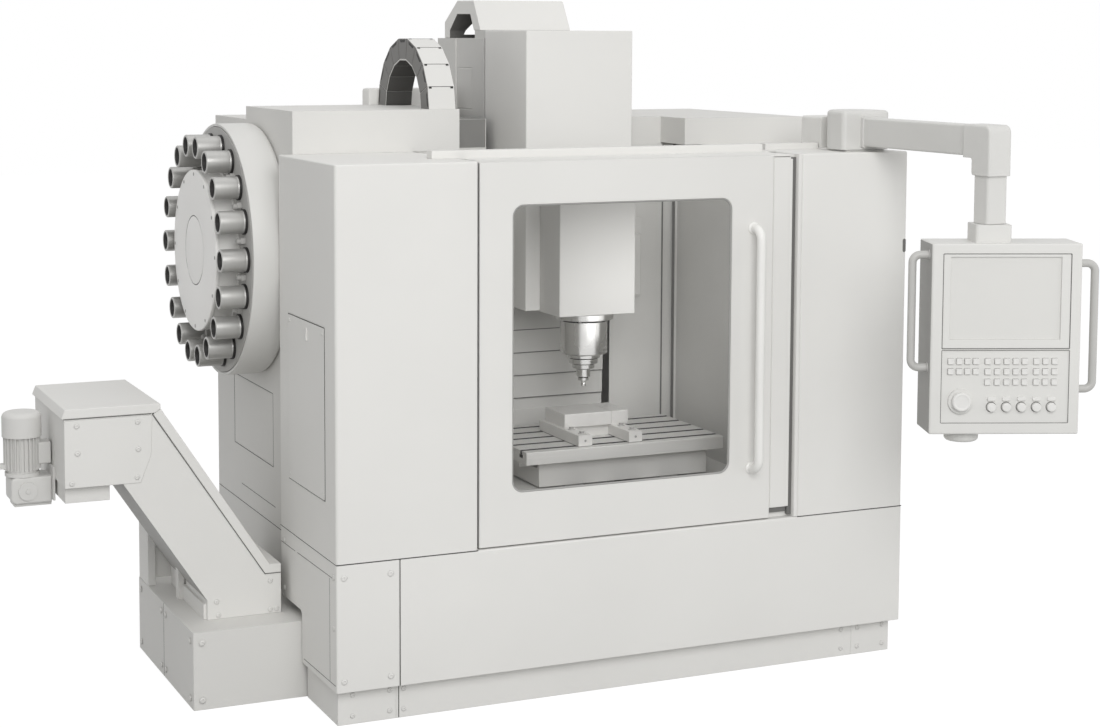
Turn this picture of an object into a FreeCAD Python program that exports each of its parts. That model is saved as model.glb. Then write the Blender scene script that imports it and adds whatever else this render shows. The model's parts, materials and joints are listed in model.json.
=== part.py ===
"""Vertical machining centre with a side tool magazine, a chip conveyor and a swinging operator panel.

All sizes are millimetres. Sizes are written from the machine's left front corner on the floor:
X runs to the right along the front, Y runs to the back, Z runs up. Each piece is moved at the end so
that the origin lies on the floor in the middle of the machine's footprint.
"""
import FreeCAD, Part
import math
import os

V = FreeCAD.Vector

# ---------------------------------------------------------------- driving dimensions: enclosure
MACHINE_WIDTH = 2475.0
MACHINE_DEPTH = 1820.0
BASE_TOP = 624.0
PLINTH_BOTTOM = 140.0
CABINET_TOP = 2100.0
CABINET_DEPTH = 690.0
LEFT_CABINET_WIDTH = 567.0
RIGHT_CABINET_WIDTH = 505.0
SHEET = 3.0
CORNER_ROUND = 12.0
SEAT_GAP = 0.3
BASE_DEPTH = 682.0
TANK_NOTCH_DEPTH = 418.0
TANK_NOTCH_TOP = 345.0
SKIRT_INSET = 50.0
SKIRT_SIDE_INSET = 20.0

# ---------------------------------------------------------------- driving dimensions: door
DOOR_SIDE_GAP = 5.0
JAMB_WIDTH = 127.0
DOOR_BOTTOM_GAP = 6.0
DOOR_TOP_GAP = 5.0
DOOR_RECESS = 6.0
DOOR_THICKNESS = 24.0
DOOR_SKIN = 4.0
WINDOW_LEFT = 136.0
WINDOW_RIGHT = 188.0
WINDOW_BOTTOM = 200.0
WINDOW_TOP = 162.0
WINDOW_ROUND = 46.0
GLASS_MARGIN = 12.0
GLASS_THICKNESS = 6.0
HANDLE_INSET = 90.0
HANDLE_BOTTOM = 212.0
HANDLE_TOP = 286.0
HANDLE_TUBE = 36.0
HANDLE_STANDOFF = 62.0
HANDLE_BEND = 34.0
RAIL_HEIGHT = 20.0
RAIL_DEPTH = 15.0
SHOE_LENGTH = 60.0

# ---------------------------------------------------------------- driving dimensions: work chamber
CHAMBER_SIDE_ROOM = 30.0
CHAMBER_FRONT = 60.0
CHAMBER_BACK = 1000.0
CHAMBER_FLOOR = 738.0
CHAMBER_TOP = 2020.0
HEAD_SLOT_LEFT = 1020.0
HEAD_SLOT_RIGHT = 1612.0

# ---------------------------------------------------------------- driving dimensions: bed, saddle, table
BED_SIDE_INSET = 350.0
BED_FRONT = 80.0
BED_BACK = 1740.0
BED_TOP = 560.0
BED_WALL = 45.0
SADDLE_LEFT_ROOM = 403.0
SADDLE_RIGHT_ROOM = 170.0
SADDLE_FRONT = 400.0
SADDLE_BACK = 880.0
SADDLE_BOTTOM = 746.0
SADDLE_TOP = 822.0
TABLE_LEFT_ROOM = 325.0
TABLE_RIGHT_ROOM = 117.0
TABLE_FRONT = 350.0
TABLE_BACK = 895.0
TABLE_TOP = 903.0
TABLE_THICKNESS = 52.0
TSLOT_COUNT = 5
TSLOT_WIDTH = 18.0
TSLOT_NECK = 16.0
TSLOT_FOOT = 32.0
TSLOT_FOOT_HEIGHT = 13.0
SLIDE_CLEARANCE = 0.5
GUIDE_RAIL_WIDTH = 35.0
GUIDE_RAIL_HEIGHT = 40.0
SCREW_DIAMETER = 32.0
SCREW_CLEARANCE = 0.3

# ---------------------------------------------------------------- driving dimensions: column and head
COLUMN_LEFT = 1055.0
COLUMN_RIGHT = 1545.0
COLUMN_FRONT = 1110.0
COLUMN_DEPTH = 310.0
COLUMN_DUCT_DEPTH = 210.0
COLUMN_TOP = 2558.0
COLUMN_WALL = 32.0
HEAD_LEFT = 1055.0
HEAD_RIGHT = 1543.0
HEAD_FRONT = 662.0
HEAD_BOTTOM = 1430.0
HEAD_TOP = 2590.0
HEAD_REAR_GAP = 12.0
SPINDLE_BOX_LEFT = 1120.0
SPINDLE_BOX_RIGHT = 1465.0
SPINDLE_BOX_FRONT = 470.0
SPINDLE_BOX_HEIGHT = 560.0
SPINDLE_X = 1297.0
SPINDLE_Y = 610.0
SLEEVE_FLANGE_R = 124.0
SLEEVE_R = 99.0
SLEEVE_BOTTOM = 1250.0
TOOL_TIP = 1110.0
COVER_PLATES = 4
COVER_PITCH = 100.0
COVER_OVERLAP = 70.0
COVER_BOTTOM = 1000.0
COVER_SHEET = 2.5
COVER_STEP = 6.0

# ---------------------------------------------------------------- driving dimensions: tool magazine
DRUM_Y = 1216.0
DRUM_Z = 1680.0
DRUM_R = 523.0
DRUM_WALL = 12.0
DRUM_WIDTH = 160.0
POT_COUNT = 18
POT_CIRCLE_R = 436.0
POT_R = 46.0
POT_COLLAR = 5.0
POT_BORE_R = 31.0
POT_LENGTH = 112.0
POT_BORE_DEPTH = 92.0
HUB_R = 334.0
HUB_LENGTH = 84.0
COVER_DISC = 14.0
CAROUSEL_PLATE = 15.0
AXLE_R = 40.0
AXLE_REACH = 60.0
DRUM_BACK_RING = 34.0
DRUM_BACK_SHEET = 6.0

# ---------------------------------------------------------------- driving dimensions: rear housing, chain
HOUSING_LEFT = 60.0
HOUSING_RIGHT_INSET = 25.0
HOUSING_TOP = 2215.0
TRAY_RIGHT = 770.0
TRAY_TOP = 2270.0
TRAY_FRONT = 690.3
TRAY_BACK = 1335.0
RIGHT_BAY_LEFT = 1860.0
RIGHT_BAY_FRONT = 780.0
CHAIN_LEFT = 649.0
CHAIN_WIDTH = 116.0
CHAIN_Y = 1020.0
CHAIN_OUTER_R = 302.0
CHAIN_HEIGHT = 92.0
CHAIN_TOP = 2555.0
LINK_ANGLE = 20.0
LINK_GAP = 0.8
LINK_WALL = 7.0
BEND_RELIEF = 12.0
LEG_LINKS = 3
DUCT_LEFT = 540.0
DUCT_RIGHT = 773.0
DUCT_FRONT = 697.0
DUCT_BOTTOM = 1900.0
HOOD_LEFT = 1070.0
HOOD_WIDTH = 432.0

# ---------------------------------------------------------------- driving dimensions: coolant tank, conveyor
TANK_LEFT = -430.0
TANK_RIGHT = 250.0
TANK_FRONT = 424.0
TANK_BACK = 1310.0
TANK_HEIGHT = 302.0
CONVEYOR_FRONT = 575.0
CONVEYOR_WIDTH = 575.0
CONVEYOR_RIGHT = -35.0
FOOT_LENGTH = 298.0
FOOT_HEIGHT = 77.0
INCLINE_RISE = 666.0
INCLINE_RUN = 440.0
INCLINE_TOP_START = 66.0
INCLINE_TOP_Z = 463.0
HEAD_BOX_LEFT = -876.0
HEAD_BOX_BOTTOM = 868.0
HEAD_BOX_TOP = 1133.0
LID_THICKNESS = 36.0
CHUTE_HEIGHT = 66.0
CONVEYOR_SHEET = 4.0
POST_TOP = 600.0
LID_END_GAP = 1.5
BELT_R = 72.0
BELT_SHEET = 8.0
CONVEYOR_SHAFT_R = 20.0
MOTOR_X = -985.0
MOTOR_Y = 850.0
MOTOR_R = 70.0
GEARBOX_WIDTH = 162.0
GEARBOX_BOTTOM = 775.0
GEARBOX_HEIGHT = 102.0

# ---------------------------------------------------------------- driving dimensions: operator panel
ARM_PIVOT_INSET = 143.0
ARM_PIVOT_Y = 150.0
ARM_WIDTH = 86.0
ARM_HEIGHT = 116.0
ARM_WALL = 6.0
ARM_BOTTOM = 2121.0
ARM_REACH = 888.0
PIVOT_HEAD_R = 112.0
PIVOT_HEAD_SHIFT = 20.0
PIVOT_HEAD_FRONT = 90.0
BRACKET_GAP = 6.0
BRACKET_WIDTH = 152.0
BRACKET_LENGTH = 152.0
ELBOW_DROP = 70.0
DROP_TUBE = 90.0
DROP_BOTTOM = 1872.0
PANEL_TURN = -22.0
PANEL_WIDTH = 562.0
PANEL_HEIGHT = 715.0
PANEL_DEPTH = 200.0
PANEL_TOP = 1805.0
PANEL_OFFSET = 44.0
COLLAR = 136.0
GLAND_PLACE = 146.0
SCREEN_POCKET = (43.0, 521.0, 38.0, 393.0)
SCREEN_GLASS = (70.0, 486.0, 49.0, 360.0)
KEY_FIELD = (43.0, 521.0, 399.0, 672.0)
POCKET_DEPTH = 7.0
SCREEN_THICKNESS = 4.0
PANEL_FRONT_WALL = 13.0
KEY_FIELD_DEPTH = 2.5
KEY_SIZE = 22.0
KEY_HEIGHT = 5.0
BUTTON_COUNT = 5
BUTTON_R = 17.0
BUTTON_HEIGHT = 14.0
BUTTON_CLEARANCE = 0.4
DIAL_R = 36.0
DIAL_RING_R = 47.0
DIAL_HEIGHT = 26.0
PANEL_HANDLE_TUBE = 30.0
PANEL_HANDLE_REACH = 62.0
PANEL_HANDLE_BEND = 30.0
LEFT_GRIP_ENDS = (46.0, 470.0)
RIGHT_GRIP_ENDS = (78.0, 552.0)

# ---------------------------------------------------------------- further driving dimensions of the drives
RAIL_SEAT_HEIGHT = 40.0
Y_RAIL_FRONT = 130.0
Y_RAIL_BACK = 1020.0
Y_RAIL_SPREAD = 435.0
Y_SCREW_FRONT = 240.0
Y_SCREW_LIFT = 60.0
SCREW_BLOCK = 45.0
JOURNAL_STEP = 5.0
Y_MOTOR_SIZE = 110.0
Y_MOTOR_LENGTH = 150.0
TROUGH_FRONT = 590.0
TROUGH_BACK = 690.0
X_SCREW_DROP = 22.0
X_RAIL_PLACES = (480.0, 800.0)
X_BLOCKS = (1180.0, 1450.0)
X_BLOCK_LENGTH = 90.0
X_BEARING = 24.0
X_MOTOR_SIZE = 82.0
X_MOTOR_LENGTH = 110.0
NUT_LEFT = 1330.0
NUT_LENGTH = 70.0
RISER_HEIGHT = 46.0
Z_RAIL_OFFSET = 150.0
Z_RAIL_BOTTOM = 1440.0
Z_RAIL_TOP = 2480.0
Z_RAIL_DEPTH = 34.0
Z_SCREW_OFFSET = 58.0
Z_SCREW_BOTTOM = 1560.0
Z_SCREW_TOP = 2310.0
Z_BRACKET = 30.0
Z_BRACKET_REACH = 32.0
Z_MOTOR_SIZE = 110.0
Z_MOTOR_LENGTH = 160.0
GUIDE_BLOCKS_Z = (1570.0, 1880.0)
GUIDE_BLOCK_LENGTH = 110.0
GUIDE_BLOCK_HALF = 42.0
WEB_OFFSET = 96.0
SHAFT_R = 48.0
FLANGE_THICKNESS = 30.0
SPINDLE_BOX_BACK = 742.0
SHAFT_ALONG = 700.0
BELT_OFFSET = 119.0
KEY_COLUMNS = (((77, 109, 140, 171), (440, 478)),
               ((216, 252, 287, 321, 354), (440, 479, 518)),
               ((398, 432, 466), (440, 479, 518)))
BUTTON_FIRST = 232.0
BUTTON_PITCH = 56.2
BUTTON_ROW = 612.0
DIAL_U = 116.0
DIAL_V = 590.0

# ---------------------------------------------------------------- sizes that follow from those above
RIGHT_CABINET_LEFT = MACHINE_WIDTH - RIGHT_CABINET_WIDTH
DOOR_LEFT = LEFT_CABINET_WIDTH + DOOR_SIDE_GAP
DOOR_RIGHT = RIGHT_CABINET_LEFT - JAMB_WIDTH
CHAMBER_LEFT = LEFT_CABINET_WIDTH + CHAMBER_SIDE_ROOM
CHAMBER_RIGHT = RIGHT_CABINET_LEFT - CHAMBER_SIDE_ROOM
BED_LEFT = BED_SIDE_INSET
BED_RIGHT = MACHINE_WIDTH - BED_SIDE_INSET
SADDLE_LEFT = CHAMBER_LEFT + SADDLE_LEFT_ROOM
SADDLE_RIGHT = CHAMBER_RIGHT - SADDLE_RIGHT_ROOM
TABLE_LEFT = CHAMBER_LEFT + TABLE_LEFT_ROOM
TABLE_LENGTH = CHAMBER_RIGHT - TABLE_RIGHT_ROOM - TABLE_LEFT
HOUSING_RIGHT = MACHINE_WIDTH - HOUSING_RIGHT_INSET
ARM_PIVOT_X = MACHINE_WIDTH - ARM_PIVOT_INSET
BRACKET_LEFT = ARM_PIVOT_X - PIVOT_HEAD_SHIFT - BRACKET_WIDTH / 2
DOOR_BOTTOM = BASE_TOP + DOOR_BOTTOM_GAP
DOOR_TOP = CABINET_TOP - DOOR_TOP_GAP
DOOR_BACK = DOOR_RECESS + DOOR_THICKNESS
FRAME_TOP = CABINET_TOP - SHEET
FRAME_FRONT = DOOR_BACK + 6.0
FRAME_BACK = 78.0
HEADER_BACK = 210.0
POCKET_BACK = FRAME_BACK + 8.0
RAIL_Z = CHAMBER_TOP + 40.0
RAIL_Y = FRAME_BACK - RAIL_DEPTH
RAIL_SEAT = BED_TOP + RAIL_SEAT_HEIGHT
Y_SCREW_X = (SADDLE_LEFT + SADDLE_RIGHT) / 2
Y_SCREW_Z = RAIL_SEAT + Y_SCREW_LIFT
X_SCREW_Y = (TROUGH_FRONT + TROUGH_BACK) / 2
X_SCREW_Z = SADDLE_TOP - X_SCREW_DROP
TROUGH_FLOOR = X_SCREW_Z - X_MOTOR_SIZE / 2 - 1.0
TABLE_BOTTOM = TABLE_TOP - TABLE_THICKNESS
Z_RAIL_PLACES = (SPINDLE_X - Z_RAIL_OFFSET, SPINDLE_X + Z_RAIL_OFFSET)
Z_SCREW_Y = COLUMN_FRONT - Z_SCREW_OFFSET
COLUMN_BACK = COLUMN_FRONT + COLUMN_DEPTH + COLUMN_DUCT_DEPTH
HEAD_BACK = COLUMN_FRONT - HEAD_REAR_GAP
COVER_LEFT = HEAD_SLOT_LEFT + 15.0
COVER_RIGHT = HEAD_SLOT_RIGHT - 37.0
DRUM_FRONT = HOUSING_LEFT - DRUM_WIDTH
PLATE_FRONT = DRUM_FRONT - 3.0
HOUSING_BOTTOM = TANK_HEIGHT + SEAT_GAP
HOUSING_FRONT = CABINET_DEPTH + SEAT_GAP
FOOT_LEFT = CONVEYOR_RIGHT - FOOT_LENGTH
FOOT_TOP = TANK_HEIGHT + FOOT_HEIGHT
CONVEYOR_BACK = CONVEYOR_FRONT + CONVEYOR_WIDTH
INCLINE_START_X = CONVEYOR_RIGHT - INCLINE_TOP_START
INCLINE_END_X = INCLINE_START_X - INCLINE_RUN
INCLINE_SLOPE = INCLINE_RISE / INCLINE_RUN
INCLINE_LENGTH = math.hypot(INCLINE_RISE, INCLINE_RUN)
UP_X = -INCLINE_RUN / INCLINE_LENGTH
UP_Z = INCLINE_RISE / INCLINE_LENGTH
TAIL_X = FOOT_LEFT + BELT_OFFSET * UP_Z
TAIL_Z = FOOT_TOP - BELT_OFFSET * UP_X
SHAFT_X = TAIL_X + SHAFT_ALONG * UP_X
SHAFT_Z = TAIL_Z + SHAFT_ALONG * UP_Z
FACE_Y = -PANEL_DEPTH / 2
FACE_LEFT = -PANEL_WIDTH / 2 + PANEL_OFFSET
BUTTON_COLUMNS = tuple(BUTTON_FIRST + BUTTON_PITCH * step for step in range(BUTTON_COUNT))

ORIGIN = V(-MACHINE_WIDTH / 2, -MACHINE_DEPTH / 2, 0)
X_DIR = V(1, 0, 0)
Y_DIR = V(0, 1, 0)
Z_DIR = V(0, 0, 1)


# ---------------------------------------------------------------- shape helpers
def block(x0, x1, y0, y1, z0, z1):
    """A box between two corners."""
    return Part.makeBox(x1 - x0, y1 - y0, z1 - z0, V(x0, y0, z0))


def edges_along(shape, direction, keep=None):
    """The straight edges of a shape that run along a direction, filtered by their middle point."""
    found = []
    for edge in shape.Edges:
        if len(edge.Vertexes) != 2 or edge.Curve.TypeId != "Part::GeomLine":
            continue
        run = edge.Vertexes[1].Point - edge.Vertexes[0].Point
        if run.Length < 1e-6 or abs(abs(run.normalize().dot(direction)) - 1) > 1e-6:
            continue
        if keep is None or keep(edge.CenterOfMass):
            found.append(edge)
    return found


def rounded(shape, radius, direction, keep=None):
    """A shape with its edges along one direction rounded."""
    return shape.makeFillet(radius, edges_along(shape, direction, keep))


def cylinder(radius, length, start, direction):
    """A solid cylinder from a start point along a direction."""
    return Part.makeCylinder(radius, length, start, direction)


def tube(outer, inner, length, start, direction):
    """A cylinder with a bore right through."""
    return cylinder(outer, length, start, direction).cut(cylinder(inner, length, start, direction))


def prism_x(points, x0, x1):
    """A profile of (y, z) points carried along X."""
    wire = Part.makePolygon([V(x0, y, z) for y, z in points + points[:1]])
    return Part.Face(wire).extrude(V(x1 - x0, 0, 0))


def prism_y(points, y0, y1):
    """A profile of (x, z) points carried along Y."""
    wire = Part.makePolygon([V(x, y0, z) for x, z in points + points[:1]])
    return Part.Face(wire).extrude(V(0, y1 - y0, 0))


def turned(profile, x, y):
    """A profile of (radius, z) points turned about the vertical line through x, y."""
    wire = Part.makePolygon([V(x + r, y, z) for r, z in profile + profile[:1]])
    return Part.Face(wire).revolve(V(x, y, 0), Z_DIR, 360)


def bent_grip(low, high, out, reach, bend, radius):
    """A round bar that leaves a wall at two points, bends and runs upright between them."""
    slant = bend * math.sin(math.radians(45))
    corner = reach - bend
    path = [Part.makeLine(low, low + out * corner)]
    path.append(Part.Arc(low + out * corner, low + out * (corner + slant) + Z_DIR * (bend - slant),
                         low + out * reach + Z_DIR * bend).toShape())
    path.append(Part.makeLine(low + out * reach + Z_DIR * bend, high + out * reach - Z_DIR * bend))
    path.append(Part.Arc(high + out * reach - Z_DIR * bend, high + out * (corner + slant) - Z_DIR * (bend - slant),
                         high + out * corner).toShape())
    path.append(Part.makeLine(high + out * corner, high))
    ring = Part.Wire([Part.makeCircle(radius, low, out)])
    return Part.Wire(path).makePipeShell([ring], True, False)


def joined(shapes):
    """Several touching solids made one."""
    shape = shapes[0]
    if len(shapes) > 1:
        shape = shape.multiFuse(shapes[1:])
    return shape.removeSplitter()


def save(name, shape):
    """Writes one piece, moved to the machine's origin."""
    moved = shape.copy()
    moved.translate(ORIGIN)
    moved.exportStep("parts/" + name + ".step")


# ---------------------------------------------------------------- base and bed
def bed_casting():
    """The cast bed: a ribbed box open underneath, with pads for the Y rails and the screw's bearings."""
    shell = block(BED_LEFT, BED_RIGHT, BED_FRONT, BED_BACK, 0, BED_TOP)
    hollow = block(BED_LEFT + BED_WALL, BED_RIGHT - BED_WALL, BED_FRONT + BED_WALL, BED_BACK - BED_WALL,
                   -1, BED_TOP - BED_WALL)
    middle_x = MACHINE_WIDTH / 2
    middle_y = MACHINE_DEPTH / 2
    rib_x = block(middle_x - BED_WALL / 2, middle_x + BED_WALL / 2, BED_FRONT, BED_BACK, 0, BED_TOP)
    rib_y = block(BED_LEFT, BED_RIGHT, middle_y - BED_WALL / 2, middle_y + BED_WALL / 2, 0, BED_TOP)
    pieces = [shell.cut(hollow), rib_x, rib_y]
    for x in y_rail_places():
        pieces.append(block(x - BED_WALL, x + BED_WALL, Y_RAIL_FRONT, Y_RAIL_BACK, BED_TOP, RAIL_SEAT))
    for y in (Y_SCREW_FRONT, Y_RAIL_BACK - SCREW_BLOCK):
        support = block(Y_SCREW_X - 50, Y_SCREW_X + 50, y, y + SCREW_BLOCK, BED_TOP, Y_SCREW_Z + 45)
        start = V(Y_SCREW_X, y - 1, Y_SCREW_Z)
        bore = cylinder(SCREW_DIAMETER / 2 + SCREW_CLEARANCE, SCREW_BLOCK + 2, start, Y_DIR)
        pieces.append(support.cut(bore))
    return joined(pieces)


def y_rail_places():
    """The X places of the two Y rails."""
    return (Y_SCREW_X - Y_RAIL_SPREAD / 2, Y_SCREW_X + Y_RAIL_SPREAD / 2)


def guide_rail(length):
    """One linear guide rail along X, lying on Z = 0: a bar with a waist along each side."""
    half = GUIDE_RAIL_WIDTH / 2
    waist = half - 6.0
    top = GUIDE_RAIL_HEIGHT
    profile = [(-half, 0), (half, 0), (half, 8), (waist, 14), (waist, 22), (half, 28), (half, top),
               (-half, top), (-half, 28), (-waist, 22), (-waist, 14), (-half, 8)]
    return prism_x(profile, 0, length)


def y_rails():
    """Two guide rails on the bed that carry the saddle."""
    rails = []
    for x in y_rail_places():
        rail = guide_rail(Y_RAIL_BACK - Y_RAIL_FRONT)
        rail.rotate(V(0, 0, 0), Z_DIR, 90)
        rail.translate(V(x, Y_RAIL_FRONT, RAIL_SEAT))
        rails.append(rail)
    return Part.makeCompound(rails)


def ball_screw(length, ends, start, direction):
    """A ball screw: a threaded middle shown plain, with a thinner journal at each end."""
    radius = SCREW_DIAMETER / 2
    journal = radius - JOURNAL_STEP
    middle = cylinder(radius, length - 2 * ends, start + direction * ends, direction)
    return joined([middle, cylinder(journal, length, start, direction)])


def servo_motor(size, length, start, direction):
    """A square servo motor: flange, body with bevelled long edges, and an encoder cap."""
    half = size / 2
    flange = Part.makeBox(size, size, 12, V(-half, -half, 0))
    body = Part.makeBox(size - 10, size - 10, length * 0.7, V(-half + 5, -half + 5, 12))
    body = body.makeChamfer(8, edges_along(body, Z_DIR))
    cap = Part.makeBox(size - 22, size - 22, length * 0.3 - 12, V(-half + 11, -half + 11, 12 + length * 0.7))
    motor = joined([flange, body, cap])
    motor.Placement = FreeCAD.Placement(start, FreeCAD.Rotation(Z_DIR, direction))
    return motor


def base_casing():
    """The wide base cover: folded sheet, open at the back, with a notch for the coolant tank."""
    outer = [(0, PLINTH_BOTTOM), (0, BASE_TOP), (BASE_DEPTH, BASE_TOP), (BASE_DEPTH, TANK_NOTCH_TOP),
             (TANK_NOTCH_DEPTH, TANK_NOTCH_TOP), (TANK_NOTCH_DEPTH, PLINTH_BOTTOM)]
    shell = prism_x(outer, 0, MACHINE_WIDTH)
    shell = rounded(shell, 8, X_DIR, lambda p: p.y < 1 and p.z > BASE_TOP - 1)
    shell = rounded(shell, 22, X_DIR, lambda p: abs(p.z - TANK_NOTCH_TOP) < 1)
    shell = rounded(shell, 7, Z_DIR, lambda p: p.y < 1)
    inner = [(SHEET, PLINTH_BOTTOM - 1), (SHEET, BASE_TOP - SHEET), (BASE_DEPTH + 1, BASE_TOP - SHEET),
             (BASE_DEPTH + 1, TANK_NOTCH_TOP + SHEET), (TANK_NOTCH_DEPTH - SHEET, TANK_NOTCH_TOP + SHEET),
             (TANK_NOTCH_DEPTH - SHEET, PLINTH_BOTTOM - 1)]
    shell = shell.cut(prism_x(inner, SHEET, MACHINE_WIDTH - SHEET))
    bed_room = block(BED_LEFT - 6, BED_RIGHT + 6, BED_FRONT - 6, BASE_DEPTH + 10, PLINTH_BOTTOM - 1, BASE_TOP - 20)
    chamber_room = block(CHAMBER_LEFT, CHAMBER_RIGHT, CHAMBER_FRONT + 20, BASE_DEPTH + 10,
                         BASE_TOP - 30, BASE_TOP + 1)
    seam = block(246, 249, -1, 1.2, PLINTH_BOTTOM - 1, BASE_TOP + 1)
    return shell.cut(bed_room).cut(chamber_room).cut(seam)


def base_skirt():
    """The kick plate between the base cover and the floor: front and two sides of folded sheet."""
    left = SKIRT_SIDE_INSET
    right = MACHINE_WIDTH - SKIRT_SIDE_INSET
    back = TANK_NOTCH_DEPTH - 4
    outer = block(left, right, SKIRT_INSET, back, 0, PLINTH_BOTTOM + SHEET)
    inner = block(left + SHEET, right - SHEET, SKIRT_INSET + SHEET, back + 1, -1, PLINTH_BOTTOM + SHEET + 1)
    skirt = outer.cut(inner)
    flange = block(SHEET, MACHINE_WIDTH - SHEET, SHEET, back, PLINTH_BOTTOM, PLINTH_BOTTOM + SHEET)
    flange = flange.cut(block(left + 1, right - 1, SKIRT_INSET + 1, back + 1, 0, PLINTH_BOTTOM + SHEET + 1))
    skirt = joined([skirt, flange])
    base_wall = block(-1, MACHINE_WIDTH + 1, TANK_NOTCH_DEPTH - SHEET - 1, TANK_NOTCH_DEPTH + 1, 0, 200)
    for x in (251, MACHINE_WIDTH - 204):
        skirt = skirt.cut(block(x - 1, x + 1, SKIRT_INSET - 1, SKIRT_INSET + 1.2, -1, PLINTH_BOTTOM + 9))
    return skirt.cut(base_wall)


# ---------------------------------------------------------------- cabinets and front frame
def cabinet(x0, x1):
    """A tall sheet cabinet with rounded corners, closed on all sides."""
    outer = block(x0, x1, 0, CABINET_DEPTH, BASE_TOP, CABINET_TOP)
    outer = rounded(outer, CORNER_ROUND, Z_DIR)
    outer = rounded(outer, 6, X_DIR, lambda p: p.z > CABINET_TOP - 1)
    inner = block(x0 + SHEET, x1 - SHEET, SHEET, CABINET_DEPTH - SHEET, BASE_TOP + SHEET, FRAME_TOP)
    return outer.cut(rounded(inner, CORNER_ROUND - SHEET, Z_DIR))


def left_cabinet():
    """The left cabinet, with a slot in its right wall for the door and a recess for the side panel."""
    shape = cabinet(0, LEFT_CABINET_WIDTH)
    pocket = block(LEFT_CABINET_WIDTH - 20, LEFT_CABINET_WIDTH + 1, SHEET, POCKET_BACK, BASE_TOP + SHEET,
                   FRAME_TOP)
    frame_groove = block(-1, 1.0, 121, 124, 835, 1492)
    groove_back = block(-1, 1.0, 568, 571, 835, 1492)
    groove_top = block(-1, 1.0, 121, 571, 1489, 1492)
    groove_bottom = block(-1, 1.0, 121, 571, 835, 838)
    return shape.cut(pocket).cut(frame_groove).cut(groove_back).cut(groove_top).cut(groove_bottom)


def side_service_panel():
    """The screwed service panel on the left cabinet's side, with its quarter-turn latch."""
    plate = block(-2.5, 0, 126, 566, 840, 1487)
    plate = rounded(plate, 8, X_DIR)
    latch = block(-9, -2.5, 322, 334, 1415, 1462)
    screws = [cylinder(6, 2.5, V(-5, y, z), X_DIR) for y in (146, 546) for z in (862, 1465)]
    return joined([plate, latch] + screws)


def right_cabinet():
    """The right cabinet, with the raised trim behind the front edge of its top."""
    shape = cabinet(RIGHT_CABINET_LEFT, MACHINE_WIDTH)
    trim = block(RIGHT_CABINET_LEFT + 6, BRACKET_LEFT - 4, 300, 340, CABINET_TOP, CABINET_TOP + 26)
    vent = block(MACHINE_WIDTH - 1.5, MACHINE_WIDTH + 1, 20, 52, 1660, 1790)
    return joined([shape, trim]).cut(vent)


def front_frame():
    """The welded frame behind the door: header with the door's rail, sill, jamb, post and roof trim."""
    left = LEFT_CABINET_WIDTH
    right = RIGHT_CABINET_LEFT
    header = block(left, right, FRAME_FRONT, FRAME_BACK, CHAMBER_TOP, FRAME_TOP)
    header_back = block(CHAMBER_LEFT, CHAMBER_RIGHT, FRAME_BACK, HEADER_BACK, CHAMBER_TOP, FRAME_TOP)
    hollow = block(CHAMBER_LEFT + SHEET, CHAMBER_RIGHT - SHEET, POCKET_BACK, HEADER_BACK - SHEET,
                   CHAMBER_TOP + SHEET, FRAME_TOP - SHEET)
    roof_trim = block(460, 1910, HEADER_BACK, HEADER_BACK + 52, CABINET_TOP, CABINET_TOP + 30)
    roof_trim = rounded(roof_trim, 4, X_DIR, lambda p: p.z > CABINET_TOP + 29)
    trim_web = block(left, right, HEADER_BACK - SHEET, HEADER_BACK + 52, FRAME_TOP, CABINET_TOP)
    sill = block(left, right, FRAME_FRONT, FRAME_BACK, BASE_TOP, CHAMBER_FLOOR)
    jamb_back = block(DOOR_RIGHT - 30, right, 40, FRAME_BACK, CHAMBER_FLOOR, FRAME_TOP)
    jamb_post = block(DOOR_RIGHT + 4, CHAMBER_RIGHT - 10, 14, FRAME_BACK, BASE_TOP + 44, CABINET_TOP - 13)
    jamb_post = rounded(jamb_post, 9, Z_DIR, lambda p: p.y < 20)
    left_post = block(left, left + 26, FRAME_FRONT, FRAME_BACK, CHAMBER_FLOOR, FRAME_TOP)
    frame = joined([header, header_back.cut(hollow), sill, jamb_back, jamb_post, left_post, trim_web, roof_trim])
    rail_end = CHAMBER_RIGHT - 5
    channel = block(left - 1, rail_end, FRAME_FRONT - 1, FRAME_BACK, CHAMBER_TOP + 12, FRAME_TOP - 8)
    rail = block(SHEET, rail_end, RAIL_Y, RAIL_Y + RAIL_DEPTH, RAIL_Z, RAIL_Z + RAIL_HEIGHT)
    return joined([frame.cut(channel), rail])


# ---------------------------------------------------------------- door
def window_block(grow, y0, y1):
    """The window's outline with rounded corners, grown on every side, between two depths."""
    shape = block(DOOR_LEFT + WINDOW_LEFT - grow, DOOR_RIGHT - WINDOW_RIGHT + grow, y0, y1,
                  DOOR_BOTTOM + WINDOW_BOTTOM - grow, DOOR_TOP - WINDOW_TOP + grow)
    return rounded(shape, WINDOW_ROUND + grow, Y_DIR)


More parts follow.
